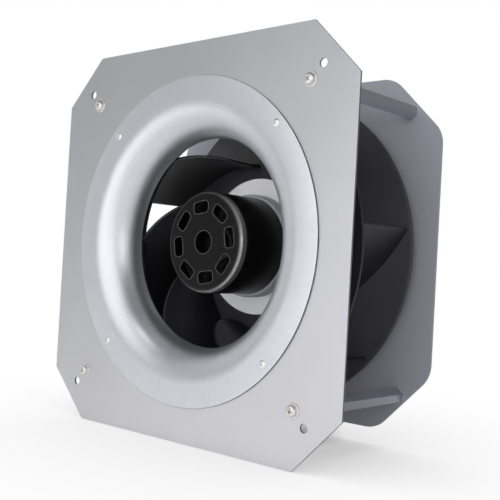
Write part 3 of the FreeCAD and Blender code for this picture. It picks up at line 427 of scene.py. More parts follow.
class CutEdge:
    """The cut edge of a flat sheet that lies across the fan axis, where its zinc ends."""

    group = "cut_edge"
    sideways = 0.7  # a face whose normal has less than this share along the axis is an edge

    @classmethod
    def mask(cls, graph: Graph) -> Socket:
        """Place the group that puts out 1 on the sheet's edges and 0 on its two sides.

        Args:
            graph: the material's graph.

        Returns:
            The mask's socket.
        """
        tree = bpy.data.node_groups.get(cls.group)
        if not tree:
            inside = new_group(cls.group, (), {"Cut": "Float"})
            way = inside.add("ShaderNodeTexCoord").outputs["Normal"]
            along = inside.math("ABSOLUTE", inside.part(way, "Y"))
            inside.add("NodeGroupOutput", Cut=inside.math("LESS_THAN", along, cls.sideways))
            tree = inside.tree
        return graph.use(tree).outputs["Cut"]


@dataclass(frozen=True)
class Finish:
    """A surface finish, which becomes one material.

    The pattern's shade carries the colour down and up by the contrast, a negative one the other
    way round, and the roughness by uneven; on rolled sheets this paints a light gradient. The tint
    pulls the light end's colour away from the dark end's, as coloured painted light. wear gives a
    turned edge a ring: on the rotor rubbed bare metal and a painted highlight, on the nozzle a
    painted shade line. cut gives the cut edges their own colour.
    """

    name: str
    colour: Colour
    metallic: float
    roughness: float
    pattern: Pattern
    scale: float
    relief_mm: float
    contrast: float
    uneven: float = 0.08
    coat: float = 0.0
    specular: float = 0.5
    # colour of the painted light: lilac at the light end, cyan-grey at the dark end
    painted_light_tint: Colour = (1.0, 1.0, 1.0)
    # a ring on a turned edge: wear and painted highlight on the rotor, painted shade on the nozzle
    wear_and_painted_light: Optional[EdgeWearAndPaintedLight] = None
    cut: Optional[Colour] = None

    def material(self) -> bpy.types.Material:
        """Make the material: its pattern shades the colour, the roughness and the normal.

        Returns:
            The material, which pieces of one finish share.
        """
        known = bpy.data.materials.get("finish_" + self.name)
        if known:
            return known
        made = bpy.data.materials.new("finish_" + self.name)
        graph = Graph.fresh(made)
        look = graph.use(PatternGroup.of(self.pattern), Scale=self.scale, Relief=self.relief_mm * MM)
        shade = look.outputs["Shade"]
        tinted = tuple(zip(self.colour, self.painted_light_tint))
        dark = (*(part * (1 - self.contrast) / painted_light_tint for part, painted_light_tint in tinted), 1.0)
        light = (*(min(part * (1 + self.contrast) * painted_light_tint, 1.0) for part, painted_light_tint in tinted), 1.0)
        colour: object = graph.blend(shade, dark, light)
        metallic: object = self.metallic
        if self.wear_and_painted_light:
            wear_and_light_mask = self.wear_and_painted_light.mask(graph)
            colour = graph.blend(wear_and_light_mask, colour, (*self.wear_and_painted_light.colour, 1.0))
            metallic = graph.ramp(wear_and_light_mask, 0.0, 1.0, self.metallic, self.wear_and_painted_light.metallic)
        if self.cut:
            colour = graph.blend(CutEdge.mask(graph), colour, (*self.cut, 1.0))
        rough = graph.ramp(shade, 0.0, 1.0, self.roughness - self.uneven, self.roughness + self.uneven)
        shader = graph.add("ShaderNodeBsdfPrincipled", Base_Color=colour, Metallic=metallic, Roughness=rough,
                           Normal=look.outputs["Normal"], Coat_Weight=self.coat,
                           Specular_IOR_Level=self.specular)
        graph.add("ShaderNodeOutputMaterial", Surface=shader.outputs[0])
        made.diffuse_color = light
        return made


# each finish: name, colour, metallic, roughness, pattern, its scale, its relief in mm, its contrast
FINISHES = {
    finish.name: finish
    for finish in (
        # lighter and lilac towards the lower right, darker and cyan-grey towards the upper left: painted
        # light
        Finish("galvanised_sheet", (0.562, 0.569, 0.597), 0.85, 0.46, Pattern.ROLLED, 420.0, 0.006, 0.25,
               uneven=0.02, painted_light_tint=(1.012, 0.992, 1.002), cut=(0.26, 0.26, 0.28)),
        # its dark edge ring paints a line of shade on the flange rim, darkest on the lower right
        Finish("spun_steel", (0.655, 0.672, 0.713), 0.92, 0.39, Pattern.SPUN, 260.0, 0.004, 0.20,
               uneven=0.0,
               wear_and_painted_light=EdgeWearAndPaintedLight(164.9 * MM, 165.3 * MM, 100.0 * MM, 50.0 * MM, (0.12, 0.12, 0.13), 0.9)),
        Finish("rivet_aluminium", (0.80, 0.80, 0.81), 0.90, 0.34, Pattern.GRAINY, 900.0, 0.010, 0.08),
        # its negative contrast paints the upper posts lighter and the lower ones darker: painted light
        Finish("spacer_steel", (0.49, 0.50, 0.56), 0.85, 0.36, Pattern.ROLLED, 500.0, 0.006, -0.10),
        Finish("zinc_fastener", (0.74, 0.715, 0.70), 0.85, 0.42, Pattern.GRAINY, 700.0, 0.012, 0.12),
        # its negative contrast paints the plate a little lighter towards the top: painted light
        Finish("rear_plate_steel", (0.52, 0.52, 0.60), 0.0, 0.55, Pattern.ROLLED, 420.0, 0.006, -0.05,
               specular=0.3),
        Finish("cast_aluminium", (0.48, 0.49, 0.50), 0.80, 0.52, Pattern.GRAINY, 520.0, 0.080, 0.10),
        Finish("lamination_steel", (0.30, 0.30, 0.32), 0.80, 0.50, Pattern.GRAINY, 600.0, 0.010, 0.10),
        # the insulators and windings inside the rotor are near black: painted shade seen through the slots
        Finish("insulator_plastic", (0.008, 0.008, 0.009), 0.0, 0.55, Pattern.GRAINY, 500.0, 0.020, 0.05),
        Finish("copper_wire", (0.010, 0.006, 0.005), 0.20, 0.50, Pattern.WOUND, 700.0, 0.250, 0.25),
        Finish("bearing_steel", (0.66, 0.67, 0.70), 1.0, 0.20, Pattern.SPUN, 900.0, 0.002, 0.04),
        Finish("cage_brass", (0.65, 0.48, 0.22), 1.0, 0.32, Pattern.GRAINY, 700.0, 0.006, 0.08),
        Finish("circuit_board", (0.03, 0.20, 0.10), 0.0, 0.38, Pattern.GRAINY, 300.0, 0.020, 0.20),
        Finish("capacitor_can", (0.10, 0.11, 0.13), 0.10, 0.42, Pattern.GRAINY, 500.0, 0.010, 0.08),
        Finish("seal_rubber", (0.02, 0.02, 0.02), 0.0, 0.72, Pattern.GRAINY, 800.0, 0.030, 0.20),
        Finish("gland_plastic", (0.035, 0.035, 0.04), 0.0, 0.48, Pattern.GRAINY, 900.0, 0.030, 0.12),
        # its edge ring is partly bare metal where the coat is rubbed, partly a painted highlight on the
        # lower right of the cup's rounded edge
        Finish("rotor_black", (0.005, 0.005, 0.005), 0.0, 0.30, Pattern.GRAINY, 1100.0, 0.012, 0.15,
               specular=0.16,
               wear_and_painted_light=EdgeWearAndPaintedLight(48.9 * MM, 51.4 * MM, 34.2 * MM, 32.8 * MM, (0.55, 0.54, 0.53), 0.9)),
        # near black for the shaft and hub in the rotor's eye: painted shade in the recess
        Finish("eye_painted_shade", (0.003, 0.003, 0.003), 0.0, 0.65, Pattern.GRAINY, 900.0, 0.010, 0.20,
               specular=0.10),
        # lighter than the rotor's black: partly edge wear, partly a painted highlight on the lips
        Finish("worn_black_painted_highlight", (0.080, 0.078, 0.075), 0.2, 0.36, Pattern.GRAINY, 1100.0, 0.010, 0.15),
        Finish("magnet_ferrite", (0.05, 0.05, 0.055), 0.2, 0.60, Pattern.GRAINY, 700.0, 0.020, 0.10),
        Finish("collar_grey", (0.50, 0.505, 0.53), 0.35, 0.60, Pattern.GRAINY, 1300.0, 0.160, 0.35),
        Finish("hub_metal", (0.97, 0.97, 0.98), 0.25, 0.50, Pattern.SPUN, 700.0, 0.006, 0.03),
        Finish("impeller_plastic", (0.012, 0.012, 0.015), 0.0, 0.42, Pattern.GRAINY, 800.0, 0.020, 0.15,
               specular=0.6),
        # a lighter copy of the impeller plastic for the back disc: painted light
        Finish("impeller_disc_painted_light", (0.064, 0.063, 0.072), 0.0, 0.50, Pattern.GRAINY, 800.0, 0.030, 0.25,
               specular=0.6),
    )
}


@dataclass
class Skin:
    """A grid of points, worked out as one array, and how it closes.

    points has the shape (rows, columns, 3). wrap_rows joins the last row to the first, and
    wrap_columns the last column to the first.
    """

    points: np.ndarray
    wrap_rows: bool = False
    wrap_columns: bool = False

    def quads(self, first: int) -> np.ndarray:
        """Corner numbers of the grid's quads, row by row.

        Args:
            first: number of the grid's first point in the whole mesh.

        Returns:
            An array of the shape (quads, 4).
        """
        rows, columns = self.points.shape[:2]
        row = np.arange(rows if self.wrap_rows else rows - 1)[:, None]
        column = np.arange(columns if self.wrap_columns else columns - 1)[None, :]
        below, beside = (row + 1) % rows, (column + 1) % columns
        corners = np.broadcast_arrays(row * columns + column, row * columns + beside,
                                      below * columns + beside, below * columns + column)
        return first + np.stack(corners, axis=-1).reshape(-1, 4)


def make_piece(
    name: str, skins: Sequence[Skin], slot: str, body: Body, stands_for: Sequence[str] = (), finish: str = ""
) -> bpy.types.Object:
    """Turn skins into one closed piece that rides on a body.

    Args:
        name: the piece's name.
        skins: the grids that bound it.
        slot: its material slot in the record.
        body: the body that it moves with.
        stands_for: CAD nodes that it is shown in place of.
        finish: the finish that it is dressed in, where that isn't the slot's own.

    Returns:
        The new object, with its place in its mesh.
    """
    counts = np.cumsum([0] + [skin.points.shape[0] * skin.points.shape[1] for skin in skins])
    points = np.concatenate([skin.points.reshape(-1, 3) for skin in skins])
    quads = np.concatenate([skin.quads(first) for skin, first in zip(skins, counts)])
    mesh = bpy.data.meshes.new(name)
    mesh.from_pydata(points.tolist(), [], quads.tolist())
    work = bmesh.new()
    work.from_mesh(mesh)
    bmesh.ops.remove_doubles(work, verts=work.verts, dist=WELD)
    bmesh.ops.recalc_face_normals(work, faces=work.faces)
    work.to_mesh(mesh)
    work.free()
    mesh.polygons.foreach_set("use_smooth", np.ones(len(mesh.polygons), bool))
    mesh.set_sharp_from_angle(angle=SHARP_EDGE)
    mesh.materials.append(FINISHES[finish or slot].material())
    piece = show(name, mesh)
    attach(piece, body.value)
    if stands_for:
        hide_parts(*stands_for)
    log.info("%s: %d faces", name, len(mesh.polygons))
    return piece


def arc(centre: tuple[float, float], radius: float, start: float, end: float, count: int) -> np.ndarray:
    """Points on a circle of a profile, in even steps; 0 degrees is outward and 90 to the rear."""
    turn = np.radians(np.linspace(start, end, count))
    return np.stack([centre[0] + radius * np.cos(turn), centre[1] + radius * np.sin(turn)], axis=-1)


def bent(start: np.ndarray, corner: np.ndarray, end: np.ndarray, share: np.ndarray) -> np.ndarray:
    """Points on the curve from start to end that has the corner as its middle control point."""
    return start * (1 - share) ** 2 + 2 * corner * share * (1 - share) + end * share**2


def about_axis(x: np.ndarray, depth: np.ndarray, z: np.ndarray, turn: float) -> np.ndarray:
    """Points, or directions, turned about the fan axis."""
    cosine, sine = math.cos(turn), math.sin(turn)
    return np.stack([x * cosine - z * sine, depth, x * sine + z * cosine], axis=-1)


def rounded(corners: Sequence[tuple[float, float, float]], steps: int = CORNER_STEPS) -> np.ndarray:
    """A closed profile whose corners are rounded.

    Each corner is replaced by a curve between the points that lie its rounding away along its two
    edges, with the corner as the curve's middle control point.

    Args:
        corners: (radius, depth, rounding) of each corner in order; a rounding of 0 keeps it sharp.
        steps: points on each rounded corner.

    Returns:
        An array of (radius, depth) rows.
    """
    table = np.array(corners, float)
    place, cut = table[:, :2], table[:, 2:]
    before, after = np.roll(place, 1, axis=0) - place, np.roll(place, -1, axis=0) - place
    before /= np.maximum(np.linalg.norm(before, axis=1, keepdims=True), WELD)
    after /= np.maximum(np.linalg.norm(after, axis=1, keepdims=True), WELD)
    share = np.linspace(0, 1, steps)[None, :, None]
    start, end = (place + before * cut)[:, None], (place + after * cut)[:, None]
    return bent(start, place[:, None], end, share).reshape(-1, 2)


def turned(profile: np.ndarray, segments: int, off_axis: tuple[float, float] = (0.0, 0.0)) -> Skin:
    """Turn a closed profile about the fan axis, or about a line beside it.

    Args:
        profile: (radius, depth) rows, closed from the last to the first.
        segments: steps round the axis.
        off_axis: X and Z of the line.

    Returns:
        A skin that closes both ways.
    """
    angle = np.linspace(0, FULL_TURN, segments, endpoint=False)[:, None]
    radius, depth = profile[None, :, 0], profile[None, :, 1]
    points = [off_axis[0] + radius * np.cos(angle), np.broadcast_to(depth, (segments, len(profile))),
              off_axis[1] + radius * np.sin(angle)]
    return Skin(np.stack(points, axis=-1), wrap_rows=True, wrap_columns=True)


def tube(path: np.ndarray, out: np.ndarray, radius: float, sides: int = 10) -> Skin:
    """Carry a circle along a closed path that lies across the fan axis.

    Args:
        path: the middle points, an array of the shape (count, 3).
        out: the direction away from the path's inside at each point, the same shape.
        radius: of the circle.
        sides: points on the circle.

    Returns:
        A skin that closes both ways.
    """
    angle = np.linspace(0, FULL_TURN, sides, endpoint=False)[None, :, None]
    front = np.array([0.0, -1.0, 0.0])
    points = path[:, None] + radius * (np.cos(angle) * out[:, None] + np.sin(angle) * front)
    return Skin(points, wrap_rows=True, wrap_columns=True)


@dataclass
class InletNozzle:
    """Spun nozzle: a flange before the plate, a bell back to the throat and a short straight lip."""

    flange_radius: float = 165.5 * MM
    throat_radius: float = 107.8 * MM
    bell_radius: float = 35.0 * MM
    sheet: float = 1.5 * MM
    lip: float = 4.0 * MM
    rounding: float = 0.6 * MM
    segments: int = 256
    bell_steps: int = 40

    def profile(self) -> np.ndarray:
        """Section of the sheet: the front of the flange and bell, and back along their rear.

        Returns:
            An array of (radius, depth) rows.
        """
        centre = (self.throat_radius + self.bell_radius, self.bell_radius - self.sheet)
        end = centre[1] + self.lip
        front = arc(centre, self.bell_radius, 270, 180, self.bell_steps)
        rear = arc(centre, self.bell_radius - self.sheet, 180, 270, self.bell_steps)
        corners = ((self.flange_radius, 0.0, self.rounding),
                   (self.flange_radius, -self.sheet, self.rounding),
                   (centre[0], -self.sheet, 0.0), (centre[0], 0.0, 0.0))
        edge = rounded(corners)[: 2 * CORNER_STEPS]
        tip = np.array([[self.throat_radius, end], [self.throat_radius + self.sheet, end]])
        return np.concatenate([edge, front, tip, rear])

    def build(self) -> None:
        """Make the nozzle in place of its CAD node."""
        make_piece("nozzle_surface", [turned(self.profile(), self.segments)], "spun_steel", Body.FRAME,
                   ["inlet_nozzle"])


@dataclass
class Rivets:
    """Blind rivets on the nozzle's flange: a low dome with an open middle, and a closed tail."""

    circle: float = 156.0 * MM
    head_radius: float = 4.0 * MM
    head_height: float = 1.3 * MM
    hole_radius: float = 1.15 * MM
    hole_depth: float = 3.0 * MM
    seat: float = -1.5 * MM
    sheet_rear: float = 2.0 * MM
    tail_radius: float = 3.0 * MM
    tail_length: float = 2.5 * MM
    shank_radius: float = 2.0 * MM
    rim: float = 0.3 * MM  # height of the head's edge
    dome_share: float = 0.6  # of the head's radius, where the dome starts to fall
    segments: int = 32

    def profile(self) -> np.ndarray:
        """Section of one rivet from its hole, over the dome, down the shank to the tail.

        Returns:
            An array of (radius, depth) rows.
        """
        top = self.seat - self.head_height
        tail = self.sheet_rear + self.tail_length
        return rounded((
            (0.0, top + self.hole_depth, 0.0),
            (self.hole_radius, top + self.hole_depth, 0.1 * MM),
            (self.hole_radius, top, 0.25 * MM),
            (self.head_radius * self.dome_share, top, 0.8 * MM),
            (self.head_radius, self.seat - self.rim, self.rim),
            (self.head_radius, self.seat, 0.0),
            (self.shank_radius, self.seat, 0.0),
            (self.shank_radius, self.sheet_rear, 0.0),
            (self.tail_radius, self.sheet_rear, 0.2 * MM),
            (self.tail_radius, tail, 0.9 * MM),
            (0.0, tail, 0.0),
        ))

    def build(self) -> None:
        """Make the four rivets as one piece."""
        place = self.circle / math.sqrt(2)
        skins = [turned(self.profile(), self.segments, (across * place, up * place))
                 for across in (-1, 1) for up in (-1, 1)]
        make_piece("rivet_heads", skins, "rivet_aluminium", Body.FRAME, ["nozzle_rivets"])


@dataclass
class CrossScrews:
    """Pan-head screws with a flange under the head and a cross recess in it."""

    name: str
    node: str
    seat: float
    direction: float = 1.0  # 1 for a head that points to the inlet, -1 to the rear
    spacing: float = 293.6 * MM
    length: float = 20.0 * MM
    shank_radius: float = 4.0 * MM
    head_radius: float = 7.5 * MM
    head_height: float = 5.0 * MM
    flange_share: float = 0.22
    dome_share: float = 0.78
    arm_share: float = 0.38
    arm_width_share: float = 0.085
    recess_share: float = 0.50
    flange_flat: float = 0.9  # share of the radius up to which the flange is flat
    wall_share: float = 0.03  # over which a recess's wall falls
    slope_share: float = 0.6  # of an arm, over which its bottom slopes
    floor_share: float = 0.12  # least height over the seat, in the middle
    floor_reach: float = 0.5
    point_length: float = 0.4  # of the shank's tapered point, in shank radii
    point_share: float = 0.7  # radius of its end
    turns: tuple[float, ...] = (0.35, 1.05, 0.15, 0.75)
    rings: int = 44
    segments: int = 96

    def height(self, radius: np.ndarray, angle: np.ndarray) -> np.ndarray:
        """Height of the head over its seat.

        A flat flange, then a dome that falls off as the root of a circle; the recess is a cross
        whose arms slope to the middle.

        Args:
            radius: distance from the screw's axis, as a share of the head's radius.
            angle: round the screw's axis.

        Returns:
            Heights in metres.
        """
        dome = np.sqrt(np.clip(1 - (radius / self.dome_share) ** 4, 0, 1))
        fall = np.clip((radius - self.flange_flat) / (1 - self.flange_flat), 0, 1)
        flange = self.flange_share * np.sqrt(np.clip(1 - fall**2, 0, 1))
        top = np.maximum(flange, self.flange_share + (1 - self.flange_share) * dome)
        top = np.where(radius > self.dome_share, flange, top)
        along, aside = np.abs(radius * np.cos(angle)), np.abs(radius * np.sin(angle))
        near, far = np.minimum(along, aside), np.maximum(along, aside)
        inside = np.clip((self.arm_width_share - near) / self.wall_share, 0, 1)
        slope = np.clip((self.arm_share - far) / (self.arm_share * self.slope_share), 0, 1)
        least = self.floor_share * (radius < self.floor_reach)
        return self.head_height * np.maximum(top - self.recess_share * inside * slope, least)

    def skins(self, across: float, up: float, turn: float) -> list[Skin]:
        """One screw: the head's top on a polar grid, and its underside with the tapered shank.

        Args:
            across: X of the screw's axis.
            up: Z of the screw's axis.
            turn: how far the cross is turned.

        Returns:
            Two open skins that meet at the head's rim.
        """
        radius = np.linspace(0, 1, self.rings)[:, None]
        angle = np.linspace(0, FULL_TURN, self.segments, endpoint=False)[None, :]
        lift = self.height(radius, angle + turn)
        lift[-1] = 0.0
        reach = self.head_radius * np.broadcast_to(radius, lift.shape)
        top = [across + reach * np.cos(angle), self.seat - self.direction * lift, up + reach * np.sin(angle)]
        end = self.seat + self.direction * self.length
        profile = np.array([
            [self.head_radius, self.seat], [self.shank_radius, self.seat],
            [self.shank_radius, end - self.direction * self.shank_radius * self.point_length],
            [self.shank_radius * self.point_share, end], [0.0, end],
        ])
        shank = turned(profile, self.segments, (across, up)).points
        return [Skin(np.stack(top, axis=-1), wrap_columns=True), Skin(shank, wrap_rows=True)]

    def build(self) -> None:
        """Make the group of screws as one piece."""
        half = self.spacing / 2
        corners = [(across * half, up * half) for across in (-1, 1) for up in (-1, 1)]
        skins = [skin for corner, turn in zip(corners, self.turns) for skin in self.skins(*corner, turn)]
        make_piece(self.name, skins, "zinc_fastener", Body.FRAME, [self.node])


@dataclass
class Impeller:
    """Shroud, dished back disc and the backward-curved blades between them."""

    rim: float = 168.0 * MM
    eye: float = 111.3 * MM
    eye_front: float = 31.5 * MM
    bend_start: float = 38.0 * MM
    bend_radius: float = 18.0 * MM
    cone_angle: float = math.radians(75.0)
    shroud_sheet: float = 3.0 * MM
    ring_front: float = 107.6 * MM
    ring_sheet: float = 3.0 * MM
    ring_radius: float = 74.0 * MM
    disc_rise: float = 42.8 * MM  # from the hub ring's depth to the rim's
    disc_bow: float = 170.0 * MM  # radius of the circle that the disc's face follows
    disc_sheet: float = 3.2 * MM
    disc_lip: float = 4.5 * MM
    disc_bore: float = 60.0 * MM
    blades: int = 7
    blade_start: float = math.radians(9.0)
    blade_sheet: float = 3.5 * MM
    tail_radius: float = 164.0 * MM
    exit_angle: float = math.radians(36.6)
    # radius, angle and depth of the leading edge at the eye and at the hub
    lead_eye: tuple[float, float, float] = (110.0 * MM, math.radians(38.3), 44.0 * MM)
    lead_hub: tuple[float, float, float] = (88.9 * MM, math.radians(68.3), 111.9 * MM)
    lead_bow: tuple[float, float] = (-8.3 * MM, math.radians(11.3))  # of radius and angle, at half way
    sink: float = 0.6 * MM  # how deep a blade's ends reach into the shroud and the disc
    blade_round: float = 0.02  # share of a blade's length over which each end is rounded
    blade_steps: int = 40  # along each side of a blade
    blade_levels: int = 28
    segments: int = 240
    bend_steps: int = 24
    face_steps: int = 48
    rear_steps: int = 40
    halvings: int = 40  # of the span in which a blade meets the shroud or the disc
    face_stop: float = 0.8 * MM  # from the rim, where the disc's face gives way to its rounded edge
    rear_gap: float = 0.2 * MM
    lip_roundings: tuple[float, float, float] = (0.7 * MM, 0.6 * MM, 0.3 * MM)  # along the disc's edge

    @property
    def bend_end(self) -> tuple[float, float]:
        """Radius and depth where the shroud's bend runs into its cone."""
        return (self.eye + self.bend_radius * (1 - math.cos(self.cone_angle)),
                self.bend_start + self.bend_radius * math.sin(self.cone_angle))

    def shroud_depth(self, radius: np.ndarray) -> np.ndarray:
        """Depth of the shroud's inner surface: a circle up to the end of the bend, then a cone.

        Args:
            radius: distances from the fan axis.

        Returns:
            Depths, the same shape as radius.
        """
        far, deep = self.bend_end
        centre = self.eye + self.bend_radius
        bend = self.bend_start + np.sqrt(np.clip(self.bend_radius**2 - (centre - radius) ** 2, 0, None))
        cone = deep + (radius - far) / math.tan(self.cone_angle)
        return np.where(radius < self.eye, 0.0, np.where(radius < far, bend, cone))

    def disc_centre(self) -> tuple[float, float]:
        """Middle of the circle that the back disc's face follows.

        Returns:
            Its radius and depth.
        """
        start = np.array([self.ring_radius, self.ring_front])
        end = np.array([self.rim, self.ring_front + self.disc_rise])
        chord = end - start
        aside = np.array([chord[1], -chord[0]]) / np.linalg.norm(chord)
        middle = (start + end) / 2 + aside * math.sqrt(self.disc_bow**2 - (np.linalg.norm(chord) / 2) ** 2)
        return float(middle[0]), float(middle[1])

    def disc_depth(self, radius: np.ndarray) -> np.ndarray:
        """Depth of the back disc's face, on the far side of its circle's middle."""
        across, deep = self.disc_centre()
        return deep + np.sqrt(np.clip(self.disc_bow**2 - (radius - across) ** 2, 0, None))

    def build_shroud(self) -> None:
        """Make the shroud with rounded rims in place of its CAD node."""
        far, deep = self.bend_end
        centre = (self.eye + self.bend_radius, self.bend_start)
        stop = 180 - math.degrees(self.cone_angle)
        inner = arc(centre, self.bend_radius, 180, stop, self.bend_steps)
        outer = arc(centre, self.bend_radius - self.shroud_sheet, stop, 180, self.bend_steps)
        rim_depth = deep + (self.rim - far) / math.tan(self.cone_angle)
        fore = rim_depth - self.shroud_sheet / math.sin(self.cone_angle)
        rim = self.edge((self.rim, rim_depth), (self.rim, fore), outward=True)
        lip = self.eye + self.shroud_sheet
        front = self.edge((lip, self.eye_front), (self.eye, self.eye_front), outward=False)
        profile = np.concatenate([inner, rim, outer, front])
        make_piece("shroud_surface", [turned(profile, self.segments)], "impeller_plastic", Body.ROTOR,
                   ["impeller_shroud"])

    @staticmethod
    def edge(first: tuple[float, float], last: tuple[float, float], outward: bool) -> np.ndarray:
        """Two corners of a rim, each cut back in a short curve of a quarter of its thickness.

        Args:
            first: (radius, depth) of the corner that the profile reaches first.
            last: (radius, depth) of the other corner.
            outward: whether this is the outer rim, or else the one round the eye.

        Returns:
            An array of (radius, depth) rows.
        """
        one, two = np.array(first), np.array(last)
        cut = 0.25 * np.linalg.norm(two - one)
        along = (two - one) / np.linalg.norm(two - one)
        back = np.array([-1.0, 0.0]) if outward else np.array([0.0, 1.0])
        share = np.linspace(0, 1, CORNER_STEPS)[:, None]
        return np.concatenate([bent(one + back * cut, one, one + along * cut, share),
                               bent(two - along * cut, two, two + back * cut, share)])

    def build_disc(self) -> None:
        """Make the back disc in place of its CAD node: the dish, its turned lip and its seat."""
        radius = np.linspace(self.ring_radius, self.rim - self.face_stop, self.face_steps)
        face = np.stack([radius, self.disc_depth(radius)], axis=-1)
        rim_depth = self.ring_front + self.disc_rise
        lip = rim_depth + self.disc_lip
        inner_rim = self.rim - self.disc_sheet / 2
        corners = ((self.rim, rim_depth), (self.rim, lip), (inner_rim, lip))
        edge = rounded([(*corner, cut) for corner, cut in zip(corners, self.lip_roundings)])
        back = np.linspace(inner_rim - self.rear_gap, self.ring_radius, self.rear_steps)
        rear = np.stack([back, self.disc_depth(back) + self.disc_sheet + self.rear_gap], axis=-1)
        seat = self.ring_front + self.ring_sheet
        hub = np.array([
            [self.ring_radius, seat + self.disc_sheet], [self.disc_bore, seat + self.disc_sheet],
            [self.disc_bore, seat], [self.ring_radius, seat],
        ])
        profile = np.concatenate([face, edge, rear, hub])
        # the disc wears a lighter copy of the impeller plastic: painted light
        make_piece("back_disc_surface", [turned(profile, self.segments)], "impeller_plastic", Body.ROTOR,
                   ["impeller_back_disc"], finish="impeller_disc_painted_light")

    def camber(self, share: np.ndarray, depth: np.ndarray) -> tuple[np.ndarray, ...]:
        """Middle line of a blade across the axis, and its normal.

        At each depth it is one arc from the trailing edge, which it leaves at the exit angle from
        the tangent, to the leading edge, whose radius and angle follow a parabola over the depth
        from the eye to the hub.

        Args:
            share: way along the blade, 0 at the trailing edge and 1 at the leading edge.
            depth: of the section, the same shape as share.

        Returns:
            X, Z and the normal's X and Z, for a blade whose trailing edge lies on +X.
        """
        run = (depth - self.lead_eye[2]) / (self.lead_hub[2] - self.lead_eye[2])
        bulge = 4 * run * (1 - run)
        radius = self.lead_eye[0] + (self.lead_hub[0] - self.lead_eye[0]) * run + self.lead_bow[0] * bulge
        angle = self.lead_eye[1] + (self.lead_hub[1] - self.lead_eye[1]) * run + self.lead_bow[1] * bulge
        lead_x, lead_z = radius * np.cos(angle), -radius * np.sin(angle)
        back = self.tail_radius - lead_x
        cosine, sine = math.cos(self.exit_angle), math.sin(self.exit_angle)
        bend = (back**2 + lead_z**2) / (2 * (cosine * back + sine * lead_z))
        centre_x = self.tail_radius - bend * cosine
        centre_z = bend * sine
        tail_turn = np.arctan2(-centre_z, self.tail_radius - centre_x)
        lead_turn = np.arctan2(lead_z - centre_z, lead_x - centre_x)
        sweep = np.mod(tail_turn - lead_turn, FULL_TURN)
        turn = tail_turn - np.where(sweep > math.pi, sweep - FULL_TURN, sweep) * share
        normal_x, normal_z = np.cos(turn), np.sin(turn)
        return centre_x + bend * normal_x, centre_z + bend * normal_z, normal_x, normal_z

    def meet(self, share: np.ndarray, surface: Callable[[np.ndarray], np.ndarray]) -> np.ndarray:
        """Depth at which the middle line reaches a surface, found by halving a span.

        Args:
            share: way along the blade.
            surface: depth of the surface at a radius.

        Returns:
            Depths, the same shape as share.
        """
        low = np.full_like(share, self.eye_front)
        high = np.full_like(share, self.ring_front + self.disc_rise + 2 * self.disc_lip)
        for _ in range(self.halvings):
            middle = (low + high) / 2
            across, up, _, _ = self.camber(share, middle)
            beyond = middle > surface(np.hypot(across, up))
            low, high = np.where(beyond, low, middle), np.where(beyond, middle, high)
        return (low + high) / 2

    def blade_skins(self, turn: float) -> list[Skin]:
        """One blade: a closed loop round its section, carried from the shroud to the disc.

        The loop runs along one side to the leading edge and back along the other. Its half
        thickness falls to nothing at both ends as the root of a circle, so the edges are round.

        Args:
            turn: the blade's place round the axis.

        Returns:
            The side surface and its two end caps.
        """
        count = self.blade_steps
        phase = np.linspace(0, FULL_TURN, 2 * count, endpoint=False)[None, :]
        share = (1 - np.cos(phase)) / 2
        half = self.blade_sheet / 2
        near_end = np.clip(np.minimum(share, 1 - share) / self.blade_round, 0, 1)
        thick = half * np.sqrt(1 - (1 - near_end) ** 2) * np.where(phase < math.pi, 1.0, -1.0)
        front = self.meet(share, self.shroud_depth) - self.sink
        rear = self.meet(share, self.disc_depth) + self.sink
        level = np.linspace(0, 1, self.blade_levels)[:, None]
        depth = front + (rear - front) * level
        across, up, normal_x, normal_z = self.camber(np.broadcast_to(share, depth.shape), depth)
        across, up = across + normal_x * thick, up + normal_z * thick
        points = about_axis(across, depth, up, turn)
        # a cap joins the two sides of an end section, point by point
        caps = [np.stack([row[: count + 1], np.concatenate([row[:1], row[:count - 1:-1]])])
                for row in (points[0], points[-1])]
        return [Skin(points, wrap_columns=True)] + [Skin(cap) for cap in caps]

    def build_blades(self) -> None:
        """Make each blade in place of its CAD node."""
        for number in range(self.blades):
            turn = self.blade_start + number * FULL_TURN / self.blades
            name = "impeller_blade_%d" % (number + 1)
            make_piece(name + "_surface", self.blade_skins(turn), "impeller_plastic", Body.ROTOR, [name])

    def build(self) -> None:
        """Make the whole impeller."""
        self.build_shroud()
        self.build_disc()
        self.build_blades()


